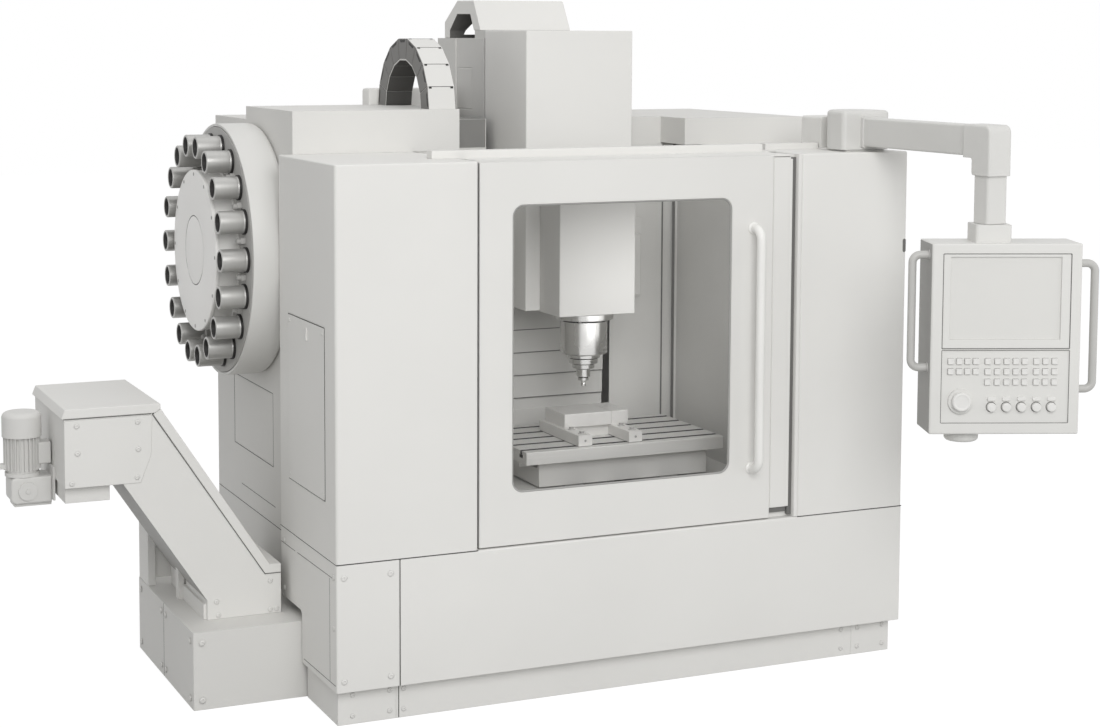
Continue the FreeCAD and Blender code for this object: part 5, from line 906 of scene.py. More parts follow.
@dataclass
class Assembly:
    """A part of the machine that is built and dressed as one."""

    pieces: list[Piece] = field(default_factory=list, init=False)

    def keep(self, piece: Piece, finish: Finish | None = None) -> Piece:
        """Dresses a piece and adds it to the assembly."""
        self.pieces.append(piece.dress(finish))
        return piece

    def add(self, name: str, shell: Shell, finish: Finish | None = None, body: str = FIXED,
            slot: Slot = Slot.PAINT, stands_for: Sequence[str] = ()) -> Piece:
        """Makes a piece from a shell, dresses it and adds it to the assembly.

        Args:
            name: The piece's name.
            shell: Its surface in the machine's frame.
            finish: Its finish, or None for its slot's own.
            body: The body that carries it.
            slot: The record's material slot.
            stands_for: The frame's nodes that it replaces.

        Returns:
            The dressed piece.
        """
        return self.keep(made(name, shell, body, slot, stands_for), finish)

    def twin(self, node: str, edge: float = 0.0, finish: Finish | None = None,
             crease: float = TWIN_CREASE) -> Piece:
        """Adds a node's finer twin.

        Args:
            node: The frame's node that it replaces.
            edge: The width of its rounded edges, or 0 to leave them.
            finish: Its finish, or None for its slot's own.
            crease: The angle in degrees above which an edge is sharp.

        Returns:
            The dressed twin.
        """
        piece = self.keep(refined(node, crease), finish)
        return piece.edged(edge) if edge else piece

    def build(self) -> None:
        """Makes the assembly's pieces."""
        raise NotImplementedError


# ---------------------------------------------------------------- the casing
@dataclass
class Enclosure(Assembly):
    """The base, the cabinets, the front frame and the arm's bracket, with their screws. Places are in mm."""

    edge: float = 0.003
    panel_edge: float = 0.0012
    screw_radius: float = 0.0105
    skirt_screw_radius: float = 0.0085
    screw_rows: Pair = (182.0, 573.0)  # heights on the end plate
    end_plate: Pair = (30.0, 213.0)  # its two columns of screws
    side_columns: Pair = (34.0, 640.0)
    side_rows: Pair = (573.0, 380.0)
    skirt_columns: tuple[float, ...] = (78.0, 226.0, 282.0, 2222.0, 2302.0, 2424.0)
    skirt_rows: Pair = (32.0, 112.0)
    skirt_face: float = 50.0

    def build(self) -> None:
        """Rounds the sheet pieces' edges and sets the screw heads."""
        for node in ("base_casing", "base_skirt", "left_cabinet", "right_cabinet", "front_frame",
                     "arm_bracket"):
            self.twin(node, self.edge)
        self.twin("side_service_panel", self.panel_edge)
        heads = faced([(x, 0, z) for x in self.end_plate for z in self.screw_rows], Facing.FRONT)
        heads += faced([(0, y, z) for y in self.side_columns for z in self.side_rows], Facing.LEFT)
        self.keep(screws("base_screws", heads, radius=self.screw_radius))
        heads = faced([(x, self.skirt_face, z) for x in self.skirt_columns for z in self.skirt_rows],
                      Facing.FRONT)
        self.keep(screws("skirt_screws", heads, radius=self.skirt_screw_radius))


@dataclass
class Seams(Assembly):
    """The dark joints between the casing's sheets, as fine strips of sealant, and painted shade in the door
    post's groove.

    Widths are in metres, and every place is in millimetres from the machine's left front corner on the floor.
    """

    fine: float = 0.0022
    medium: float = 0.003
    wide: float = 0.0034
    front_lines: tuple[Line, ...] = (((0, 0, 624), (566, 0, 624)), ((1971, 0, 624), (2475, 0, 624)),
                                     ((250, 0, 141), (250, 0, 622)), ((262, 50, 2), (262, 50, 139)))
    side_lines: tuple[Line, ...] = (
        ((0, 0, 624), (0, 690, 624)), ((0, 20, 566), (0, 470, 562)), ((0, 500, 561), (0, 680, 560)),
        ((0, 78, 168), (0, 78, 560)), ((0, 12, 166), (0, 396, 160)), ((60, 692, 552.5), (60, 1818, 552.5)),
        ((60, 955, 630), (60, 1450, 630)), ((-430, 885.5, 2), (-430, 885.5, 300)))
    side_panel: Line = ((-0.2, 124.5, 838.5), (-0.2, 567.5, 1488.5))
    rear_plate: Line = ((60, 978, 794), (60, 1552, 1100))
    # The dark filler at the back of the groove between the door post's trims: painted shade.
    groove_shade: Box = (1934.0, 1958.0, 22.0, 39.0, 632.0, 2086.0)
    post_edge: Box = (1954.0, 1971.0, 0.4, 60.0, 625.0, 2099.0)
    post: Box = (1924.0, 1936.0, 14.4, 39.0, 668.5, 2080.0)
    pocket: Box = (1849.0, 1929.0, 24.0, 39.0, 646.0, 667.0)
    recess_place: Point = (2464.0, 0.0, 1713.0)
    recess_size: tuple[float, float, float] = (0.015, 0.056, 0.0074)  # width, height, corner radius

    def build(self) -> None:
        """Lays the strips on the fixed casing."""
        bars = [seam(line, Facing.FRONT, self.wide) for line in self.front_lines]
        bars += [seam(line, Facing.LEFT, self.fine) for line in self.side_lines]
        bars += border(self.side_panel, Facing.LEFT, self.medium)
        bars += border(self.rear_plate, Facing.LEFT, self.fine)
        self.add("casing_seams", merged(bars), DARK_SEAM)
        # Painted shade: a dark block fills the door post's groove.
        self.add("door_post_groove_shade", block(self.groove_shade), SEAL_RUBBER_AND_SHADE)
        self.add("post_trims", merged([block(self.post_edge), block(self.post)]))
        # A flat dark patch that paints the shade of a recess at the right cabinet's edge.
        recess = layered(*self.recess_size, [(0.0, -0.0004), (0.0, 0.0003)], steps=8)
        recess = recess.repeated(faced([self.recess_place], Facing.FRONT))
        self.add("cabinet_edge_recess", recess, SEAL_RUBBER_AND_SHADE)
        self.add("post_foot_shadow_gap", block(self.pocket), SEAL_RUBBER_AND_SHADE)


@dataclass
class RearSide(Assembly):
    """The rear housing, the column with its hood and drives, the bed and the tank. Places are in mm."""

    edge: float = 0.003
    column_edge: float = 0.002
    bay_wall: Line = ((895, 1003, 2080), (895, 1003, 2214))
    bay_roof: Line = ((895, 1004, 2215), (895, 1338, 2215))
    bay_width: float = 0.242
    bay_rise: float = 0.0008
    duct_box: Box = (612.0, 1008.0, 1341.0, 1430.0, 2215.4, 2340.0)
    duct_rounding: float = 0.006
    duct_top: tuple[Pair, ...] = ((0.0, 0.012), (0.0035, 0.0035), (0.012, 0.0))
    hood_inward: float = 0.02  # a face that looks so far past the hood's middle line is on its inside

    def build(self) -> None:
        """Rounds the sheet pieces, paints shade into the chain's bay and the hood's inside, and dresses the
        column.
        """
        self.twin("rear_housing", self.edge, HOUSING_PAINT)
        # Strips of painted shade on the bay's front wall and roof behind the left cabinet's top.
        lining = [seam(self.bay_wall, Facing.FRONT, self.bay_width, self.bay_rise),
                  seam(self.bay_roof, Facing.UP, self.bay_width, self.bay_rise)]
        self.add("bay_painted_shade", merged(lining), BAY_SHADE)
        self.add("rear_duct", block(self.duct_box, self.duct_rounding, self.duct_top, steps=4))
        self.twin("column", self.column_edge, CAST_PAINT)
        hood = self.twin("column_hood", self.edge)
        centre, normal = hood.faces()
        low, high = corners("column_hood")
        middle = (low + high) / 2 * (0, 1, 0) + (0, 0, low[2])
        # The hood's inside faces get painted shade.
        hood.tint(((middle - centre) * normal)[:, 1:].sum(1) > self.hood_inward, HOOD_INSIDE_SHADE)
        self.twin("coolant_tank", self.edge, HOUSING_PAINT)
        for node in ("bed_casting", "z_rails", "y_rails", "z_motor", "y_motor"):
            self.twin(node)


# ---------------------------------------------------------------- the door
@dataclass
class Door(Assembly):
    """The sliding door with its pane, the pane's gasket and the long handle."""

    edge: float = 0.0025
    gasket_width: float = 0.007
    gasket_place: float = 12.5  # millimetres behind the casing's front
    handle_radius: float = 0.018
    handle_bend: float = 0.045
    foot_radius: float = 0.024
    # Left, right, low, high and corner radius of the opening, in millimetres.
    window: tuple[float, float, float, float, float] = (708.0, 1655.0, 830.0, 1933.0, 46.0)

    def build(self) -> None:
        """Makes the gasket round the window and bends the handle's tube."""
        self.twin("door_panel", self.edge)
        self.twin("door_glass")
        self.add("window_gasket", self.gasket(), GASKET, "door")
        self.add("door_handle_tube", self.handle(), HANDLE_PAINT, "door", Slot.GRIP, ["door_handle"])

    def gasket(self) -> Shell:
        """A slim rubber lip along the window's edge, a closed section carried round the opening.

        Returns:
            The shell.
        """
        left, right, low, high, corner = self.window
        width, height = (right - left) * MM, (high - low) * MM
        section = [(0.0, 0.0), (0.0, 0.0035), (0.002, 0.005), (0.005, 0.004), (self.gasket_width, 0.001),
                   (self.gasket_width, -0.001), (0.0, -0.001)]
        ring = layered(width, height, corner * MM, section, closed=True, steps=12)
        return ring.repeated(faced([((left + right) / 2, self.gasket_place, (low + high) / 2)], Facing.FRONT))

    def handle(self) -> Shell:
        """The tube with two tangent bends, and a turned foot at each end.

        Returns:
            The shell.
        """
        low, high = corners("door_handle")
        x = (low[0] + high[0]) / 2
        front, back = low[1] + self.handle_radius, high[1]
        bottom, top = low[2] + self.foot_radius, high[2] - self.foot_radius
        points = [(x, back, bottom), (x, front, bottom), (x, front, top), (x, back, top)]
        tube = swept(bent_path(points, self.handle_bend), Facing.RIGHT.value, circle(self.handle_radius, 28))
        foot = turned(softened([(0, 0), (self.foot_radius, 0), (self.foot_radius, 0.005),
                                (self.handle_radius, 0.009), (0, 0.009)], 0.0012), 32)
        spots = [Spot((x, back, z), Facing.FRONT.value) for z in (bottom, top)]
        return merged([tube, foot.repeated(spots)])


# ---------------------------------------------------------------- the work chamber
@dataclass
class Chamber(Assembly):
    """The lining, the way covers, the lamp, the saddle, the table with its load, and their drives."""

    covers: int = 4
    cover_edge: float = 0.0008
    lamp_edge: float = 0.002
    saddle_edge: float = 0.0015
    fine_edge: float = 0.001
    wiper_lift: float = 0.0022
    wiper_width: float = 0.0035
    # The lining's upright joints: x, y and width in millimetres, and their lowest and highest z.
    corner_lines: tuple[tuple[float, float, float], ...] = ((1868.5, 996.0, 7.0), (1921.0, 988.0, 13.0))
    corner_span: Pair = (742.0, 2090.0)
    # The table's T-slots.
    slots: int = 5
    slot_depth: float = 0.045
    slot_margin: float = 0.01
    top_skin: float = 0.003
    # Strips of painted shade along each T-slot's lips: their reach from the slot's middle, width and rise.
    lip_shade_reach: float = 0.0102
    lip_shade_width: float = 0.002
    lip_shade_rise: float = 0.00015
    # The riser bars: how deep the nuts and the front's dimples lie, and the bars' sides in millimetres.
    nut_depth: float = 0.0118
    dimples: Pair = (0.0005, 0.004)
    dimple_rows: Pair = (0.01, 0.02)
    risers: tuple[Pair, ...] = ((1166.0, 1228.0), (1396.0, 1456.0))
    riser_front: float = 378.0
    riser_side: Pair = (380.0, 760.0)
    riser_foot: float = 904.0
    foot_width: float = 0.002

    def build(self) -> None:
        """Dresses the chamber's pieces, with finer twins where they show in the window."""
        self.twin("chamber_liner", 0.0, LINING_PAINT)
        for index in range(1, self.covers + 1):
            self.cover(index)
        low, high = self.corner_span
        lines = [seam(((x, y, low), (x, y, high)), Facing.FRONT, width * MM)
                 for x, y, width in self.corner_lines]
        self.add("corner_seams", merged(lines), SEAL_RUBBER_AND_SHADE, slot=Slot.LINING)
        self.twin("work_lamp", self.lamp_edge, CHAIN_LID)
        self.twin("saddle", self.saddle_edge, CAST_PAINT)
        self.table()
        self.twin("workpiece", self.fine_edge)
        self.clamps()
        for node in ("x_rails", "x_motor", "x_ball_screw", "y_ball_screw", "z_ball_screw"):
            self.twin(node)

    def cover(self, index: int) -> None:
        """One slat of the way cover, with the wiper along its lower edge.

        Args:
            index: The slat's number from the top.
        """
        node = f"way_cover_{index}"
        self.twin(node, self.cover_edge, LINING_PAINT)
        low, high = corners(node)
        height = low[2] + self.wiper_lift
        wiper = strip((low[0], low[1], height), (high[0] - MM, low[1], height), Facing.FRONT.value,
                      self.wiper_width)
        self.add(f"cover_wiper_{index}", wiper, FINE_SEAM_AND_SHADOW, body_of(node), Slot.LINING)

    def table(self) -> None:
        """The table, with painted shade in its T-slots and dark strips of painted shade along their lips."""
        table = self.twin("table", self.fine_edge)
        centre, normal = table.faces()
        low, high = corners("table")
        inside = (centre[:, 1] > low[1] + self.slot_margin) & (centre[:, 1] < high[1] - self.slot_margin)
        inside &= (centre[:, 2] > high[2] - self.slot_depth) & (np.abs(normal[:, 0]) < ASIDE)
        wall, floor = np.abs(normal[:, 1]) > ALONG, centre[:, 2] < high[2] - self.top_skin
        # The T-slots' walls and floors are painted near-black as shade.
        table.tint(inside & (wall | floor), RECESS_SHADE)
        # Dark strips on the table's top along both lips of each slot: painted shade.
        pitch = (high[1] - low[1]) / self.slots
        lips = [low[1] + pitch * (k + 0.5) + side * self.lip_shade_reach
                for k in range(self.slots) for side in (-1, 1)]
        left, right = low[0] + self.lip_shade_width, high[0] - self.lip_shade_width
        lip_shades = [strip((left, y, high[2]), (right, y, high[2]), Facing.UP.value, self.lip_shade_width,
                          self.lip_shade_rise) for y in lips]
        self.add("slot_lip_shade", merged(lip_shades), RECESS_SHADE, "table", Slot.IRON)

    def clamps(self) -> None:
        """The riser bars with grey nuts and dimples, and the fine joints at the bars' feet."""
        clamps = self.twin("work_clamps", self.fine_edge, BLOCK_METAL)
        centre, normal = clamps.faces()
        low, high = corners("work_clamps")
        nuts = (centre[:, 2] > high[2] - self.nut_depth) & (np.abs(normal[:, 2]) < ASIDE)
        depth = centre[:, 1] - low[1]
        dimples = (depth > self.dimples[0]) & (depth < self.dimples[1])
        dimples &= centre[:, 2] > low[2] + self.dimple_rows[0]
        dimples &= centre[:, 2] < high[2] - self.dimple_rows[1]
        clamps.tint(nuts | dimples, GASKET)
        near, far = self.riser_side
        feet = [seam(((a, self.riser_front, self.riser_foot), (b, self.riser_front, self.riser_foot)),
                     Facing.FRONT, self.foot_width) for a, b in self.risers]
        feet += [seam(((a, near, self.riser_foot), (a, far, self.riser_foot)), Facing.LEFT, self.foot_width)
                 for a, _ in self.risers]
        self.add("clamp_seams", merged(feet), FINE_SEAM_AND_SHADOW, "table", Slot.BILLET)


# ---------------------------------------------------------------- the spindle head
@dataclass
class SpindleHead(Assembly):
    """The tall head casing, the spindle's cartridge, its nose, the tool holder and the cutter."""

    casing_edge: float = 0.003
    casting_edge: float = 0.002
    flange: Pair = (0.124, 0.030)  # radius and thickness
    barrel_radius: float = 0.099
    flange_screws: int = 8
    cutter_radius: float = 0.0105
    flutes: int = 3
    flute_pitch: float = 0.060
    flute_depth: float = 0.2
    flute_length: float = 0.026
    runout: float = 0.004
    shank_share: float = 1.15
    undercut: float = 0.003
    groove: float = 0.0038
    screw_phase: float = 0.2
    screw_size: Pair = (0.008, 0.004)  # radius and height
    x: float = field(init=False)
    y: float = field(init=False)
    # Heights of the undercuts, which are painted dark as shade.
    bands: list[Pair] = field(default_factory=list, init=False)

    def build(self) -> None:
        """Turns the spindle's pieces about their common axis."""
        self.twin("head_casing", self.casing_edge)
        self.twin("head_casting", self.casting_edge)
        low, high = corners("spindle_sleeve")
        self.x, self.y = (low[0] + high[0]) / 2, (low[1] + high[1]) / 2
        nose_low, nose_high = corners("spindle_shaft")
        tool_low, tool_high = corners("tool_holder")
        self.turning("cartridge", self.cartridge(low[2], high[2]), "head", "spindle_sleeve")
        self.turning("spindle_nose", self.nose(nose_low[2], low[2], nose_high[2]), "spindle", "spindle_shaft")
        self.turning("tool_and_holder", self.tool(tool_low[2], tool_high[2]), "spindle", "tool_holder")
        ring = np.arange(self.flange_screws) * 2 * math.pi / self.flange_screws + self.screw_phase
        height = high[2] - self.flange[1]
        reach = (self.flange[0] + self.barrel_radius) / 2
        spots = [Spot((self.x + reach * math.cos(a), self.y + reach * math.sin(a), height), Facing.DOWN.value)
                 for a in ring]
        self.keep(screws("cartridge_screws", spots, "head", *self.screw_size, Slot.STEEL), RAIL_STEEL)

    def lathe(self, profile: Sequence[Pair], rounding: float = 0.0012) -> Shell:
        """A profile of (radius, height above the floor) turned about the spindle's axis."""
        return turned(softened(profile, rounding), 128).moved((self.x, self.y, 0))

    def cartridge(self, bottom: float, top: float) -> Shell:
        """The flange and the barrel, with a relief under the flange and a chamfered lower edge.

        Args:
            bottom: The height of the barrel's lower end.
            top: The height of the flange's upper face.

        Returns:
            The shell.
        """
        r, barrel = self.flange[0], self.barrel_radius
        under = top - self.flange[1]
        # The relief under the flange is painted dark as shade.
        self.bands.append((under - 0.0074, under + 0.0004))
        return self.lathe([(0.0, top), (r - 0.004, top), (r, top - 0.004), (r, under + 0.002),
                           (r - 0.002, under), (barrel - 0.003, under), (barrel - 0.003, under - 0.007),
                           (barrel, under - 0.008), (barrel, bottom + 0.003), (barrel - 0.003, bottom),
                           (0.05, bottom)])

    def stepped(self, steps: Sequence[tuple[float, float, float]]) -> list[Pair]:
        """Turned steps with a narrow undercut at the top of each, whose heights are kept as bands for painted
        shade.

        Args:
            steps: The (radius, top, bottom) of each step, from the top down.

        Returns:
            The (radius, height) pairs of their profile.
        """
        out = []
        for radius, top, bottom in steps:
            out += [(radius - self.undercut, top), (radius - self.undercut, top - self.groove),
                    (radius, top - self.groove - 0.0006), (radius, bottom + 0.001), (radius - 0.001, bottom)]
            self.bands.append((top - self.groove - 0.0003, top + 0.0003))
        return out

    def turning(self, name: str, shell: Shell, body: str, node: str) -> None:
        """Adds a turned piece whose undercuts are painted dark as shade.

        Args:
            name: The piece's name.
            shell: Its surface, whose undercuts lie in the bands kept.
            body: The body that carries it.
            node: The frame's node that it replaces.
        """
        piece = self.add(name, shell, SPINDLE_STEEL, body, Slot.STEEL, [node])
        height = piece.faces()[0][:, 2:]
        low, high = np.array(self.bands).T
        # The undercuts get painted shade.
        piece.tint(((height > low) & (height < high)).any(axis=1), RECESS_SHADE)
        self.bands.clear()

    def nose(self, bottom: float, seat: float, top: float) -> Shell:
        """The turning nose under the cartridge: two steps, and the shaft inside.

        Args:
            bottom: The height of its lower end.
            seat: The height of the cartridge's lower end.
            top: The height of the shaft's upper end.

        Returns:
            The shell.
        """
        steps = self.stepped([(0.0695, seat - 0.0006, seat - 0.018), (0.060, seat - 0.018, bottom)])
        return self.lathe([(0.0, top), (0.047, top), (0.047, seat - 0.0003), *steps, (0.034, bottom)], 0.0005)

    def tool(self, tip: float, top: float) -> Shell:
        """The holder's taper, its gripper groove and collet nut, and the fluted cutter below.

        Args:
            tip: The height of the cutter's tip.
            top: The height of the holder's upper end.

        Returns:
            The shell.
        """
        seat = top - 0.058
        steps = self.stepped([(0.047, seat, seat - 0.021), (0.029, seat - 0.021, seat - 0.058),
                              (0.022, seat - 0.058, seat - 0.074)])
        taper = [(0.0, top), (0.0255, top), (0.0335, seat + 0.0005)]
        holder = self.lathe([*taper, *steps, (0.0, seat - 0.074)], 0.0004)
        return merged([holder, self.cutter(tip, seat - 0.073)])

    def cutter(self, tip: float, top: float) -> Shell:
        """A fluted end mill.

        Its radius is R (1 - d + d |cos(k/2 (a - w(z)))|^0.6) for flutes of depth d, which gives k lands, and
        w(z) winds them round by a full turn in one flute pitch. Above them it runs out to the round shank.

        Args:
            tip: The height of its tip.
            top: The height at which it enters the collet nut.

        Returns:
            The shell.
        """
        rings, facets, bluntness = 28, 48, 0.6
        height = np.linspace(top, tip, rings)
        angle = np.linspace(0, 2 * math.pi, facets, endpoint=False)
        wind = (height[:, None] - tip) / self.flute_pitch * 2 * math.pi
        land = np.abs(np.cos(self.flutes / 2 * (angle[None, :] - wind))) ** bluntness
        shank = np.clip((height[:, None] - (tip + self.flute_length)) / self.runout, 0, 1)
        fluted = 1 - self.flute_depth + self.flute_depth * land
        radius = self.cutter_radius * (shank * self.shank_share + (1 - shank) * fluted)
        x = self.x + radius * np.cos(angle)
        y = self.y + radius * np.sin(angle)
        return grid(np.stack((x, y, np.broadcast_to(height[:, None], x.shape)), -1), capped=True)


# ---------------------------------------------------------------- the tool magazine
@dataclass
class Magazine(Assembly):
    """The drum with its turning carousel, the pots and the round cover."""

    pots: int = 18
    pot_circle: float = 0.436
    pot_radius: float = 0.046
    pot_length: float = 0.112
    bore_radius: float = 0.031
    rim_rounding: float = 0.026
    wall: float = 0.012
    plate_radius: float = 0.5095
    plate_thickness: float = 0.015
    hub_radius: float = 0.330
    hub_depth: float = 0.084
    cover_groove: Pair = (0.1410, 0.1450)
    cover_screws: int = 12
    screw_size: Pair = (0.006, 0.0015)  # radius and height
    screw_circle: float = 0.316
    screw_sink: float = 1.6  # millimetres under the cover's outermost face
    plate_place: float = -103.0  # x of the wheel's plate and of the drum's rim, in millimetres
    drum_place: float = -100.0
    y: float = field(init=False)
    z: float = field(init=False)

    def build(self) -> None:
        """Turns the drum, the wheel and the pots about the magazine's axis."""
        low, high = corners("magazine_housing")
        self.y, self.z = (low[1] + high[1]) / 2, (low[2] + high[2]) / 2
        self.add("magazine_drum", self.drum((high[2] - low[2]) / 2, high[0]), PANEL_PAINT,
                 stands_for=["magazine_housing"])
        # The wheel gets the darkened paint: painted shade between the pots.
        self.add("carousel_wheel", self.wheel(), SHADED_WHEEL_PAINT, "carousel", Slot.STEEL, ["carousel"])
        self.add("carousel_hub", self.hub(), body="carousel")
        spots = self.round_spots(self.pot_circle, 0.0)
        # The collars' dark finish, and painted shade in the bores.
        for name, shell, finish in (("pot_collars", self.collar(), POT_DARK_AND_SHADE),
                                    ("tool_pots", self.pot(), POT_STEEL),
                                    ("pot_bores", self.bore(), POT_DARK_AND_SHADE)):
            self.add(name, shell.repeated(spots), finish, "carousel", Slot.STEEL)
        low, high = corners("carousel_cover")
        # The cover's paint is lighter, partly painted light on its left-facing face.
        cover = self.add("wheel_cover", self.cover(low, high), COVER_PAINT_AND_LIGHT, "carousel",
                         stands_for=["carousel_cover"])
        away = np.linalg.norm(cover.faces()[0][:, 1:] - (low + high)[1:] / 2, axis=1)
        cover.tint((away > self.cover_groove[0]) & (away < self.cover_groove[1]), FINE_SEAM_AND_SHADOW)
        rim, face = self.screw_circle, low[0] + self.screw_sink * MM
        heads = [Spot((face, self.y + rim * math.cos(a), self.z + rim * math.sin(a)), Facing.LEFT.value)
                 for a in np.arange(self.cover_screws) * 2 * math.pi / self.cover_screws]
        self.keep(screws("cover_screws", heads, "carousel", *self.screw_size), GASKET)

    def axis(self, x: float) -> Spot:
        """A spot on the magazine's axis that looks out to the left."""
        return Spot((x, self.y, self.z), Facing.LEFT.value)

    def drum(self, r: float, back_face: float) -> Shell:
        """The drum's rim, rounded at the back, with the deep recess that holds the wheel.

        Args:
            r: The drum's radius.
            back_face: The x at which its back lies.

        Returns:
            The shell.
        """
        depth, inner = back_face - at(self.drum_place, 0, 0)[0], r - self.wall
        back = np.linspace(0, math.pi / 2, 7)
        corner = [(r - self.rim_rounding * (1 - math.sin(a)), self.rim_rounding * (1 - math.cos(a)))
                  for a in back]
        profile = [(0.0, 0.0), *corner, (r, depth - 0.003), (r - 0.0015, depth), (inner + 0.0015, depth),
                   (inner, depth - 0.0015), (inner, 0.034), (r - 0.040, 0.034), (r - 0.040, 0.006),
                   (0.0, 0.006)]
        return turned(profile, 160).placed(self.axis(back_face))

    def round_spots(self, radius: float, phase: float) -> list[Spot]:
        """One spot for each pot's step on the wheel's plate.

        Args:
            radius: The radius of the circle that they stand on.
            phase: The share of a step by which they are turned on.

        Returns:
            The spots, whose up looks away from the axis.
        """
        step = 2 * math.pi / self.pots
        x = at(self.plate_place, 0, 0)[0]
        angles = (np.arange(self.pots) + phase) * step
        return [Spot((x, self.y + radius * math.cos(a), self.z + radius * math.sin(a)), Facing.LEFT.value,
                     (0.0, math.cos(a), math.sin(a))) for a in angles]

    def wheel(self) -> Shell:
        """The wheel's plate, and a grip between each two pots: a foot block with a round-headed pin.

        Returns:
            The shell.
        """
        thick = self.plate_thickness
        disc = turned(softened([(0.0, -thick), (self.plate_radius, -thick), (self.plate_radius, 0.0),
                                (0.0, 0.0)], 0.002), 144)
        foot = layered(0.026, 0.048, 0.004, [(0.0, 0.0), (0.0, 0.016), (0.0015, 0.018)], steps=3)
        pin = turned(softened([(0.0125, 0.017), (0.0125, 0.030), (0.0095, 0.034), (0.0, 0.034)], 0.001), 20)
        return merged([disc.placed(self.axis(at(self.plate_place, 0, 0)[0])),
                       foot.repeated(self.round_spots(self.pot_circle - 0.033, 0.5)),
                       pin.repeated(self.round_spots(self.pot_circle - 0.024, 0.5))])

    def hub(self) -> Shell:
        """The hub's wall behind the round cover, with a low foot ring on the plate.

        Returns:
            The shell.
        """
        r, deep = self.hub_radius, self.hub_depth
        profile = [(r + 0.006, 0.0), (r + 0.006, 0.004), (r, 0.006), (r, deep), (r - 0.016, deep),
                   (r - 0.016, 0.0)]
        return turned(softened(profile, 0.001), 160).placed(self.axis(at(self.plate_place, 0, 0)[0]))

    def collar(self) -> Shell:
        """The dark retaining collar round a pot's foot, with a groove in it.

        Returns:
            The shell about a pot's own axis.
        """
        r = self.pot_radius
        profile = [(r + 0.005, 0.0), (r + 0.005, 0.004), (r + 0.0035, 0.0045), (r + 0.0035, 0.006),
                   (r + 0.005, 0.0065), (r + 0.005, 0.0095), (r - 0.001, 0.0098)]
        return turned(softened(profile, 0.0005, 2), 40)

    def pot(self) -> Shell:
        """One pot: barrel, a fine ring near its foot, rounded rim and tapered lead-in.

        Returns:
            The shell about its own axis.
        """
        r, b, length = self.pot_radius, self.bore_radius, self.pot_length
        profile = [(r, 0.0), (r, 0.0150), (r - 0.0012, 0.0155), (r - 0.0012, 0.0175), (r, 0.018),
                   (r, length - 0.003), (r - 0.003, length), (b + 0.0075, length),
                   (b + 0.0065, length - 0.002)]
        return turned(softened(profile, 0.0012), 48)

    def bore(self) -> Shell:
        """The inside of a pot, painted dark as shade: a taper that ends at a step, with the retention fork's
        ring.

        Returns:
            The shell about a pot's own axis.
        """
        b, length = self.bore_radius, self.pot_length
        profile = [(b + 0.0068, length - 0.0015), (b, length - 0.011), (b - 0.004, 0.050), (b - 0.012, 0.048),
                   (b - 0.012, 0.024), (0.0, 0.024)]
        return turned(profile, 32)

    def cover(self, low: Array, high: Array) -> Shell:
        """The round cover with its centre cap, set off by a fine groove.

        Args:
            low: The lowest corner of the room it takes.
            high: The highest corner of that room.

        Returns:
            The shell.
        """
        r = (high[2] - low[2]) / 2
        thick = high[0] - low[0] - 0.0015
        profile = [(0.0, 0.0), (r, 0.0), (r, thick - 0.003), (r - 0.003, thick), (0.1455, thick),
                   (0.1445, thick - 0.002), (0.1415, thick - 0.002), (0.1405, thick), (0.0, thick)]
        return turned(softened(profile, 0.0008, 2), 160).placed(self.axis(high[0]))


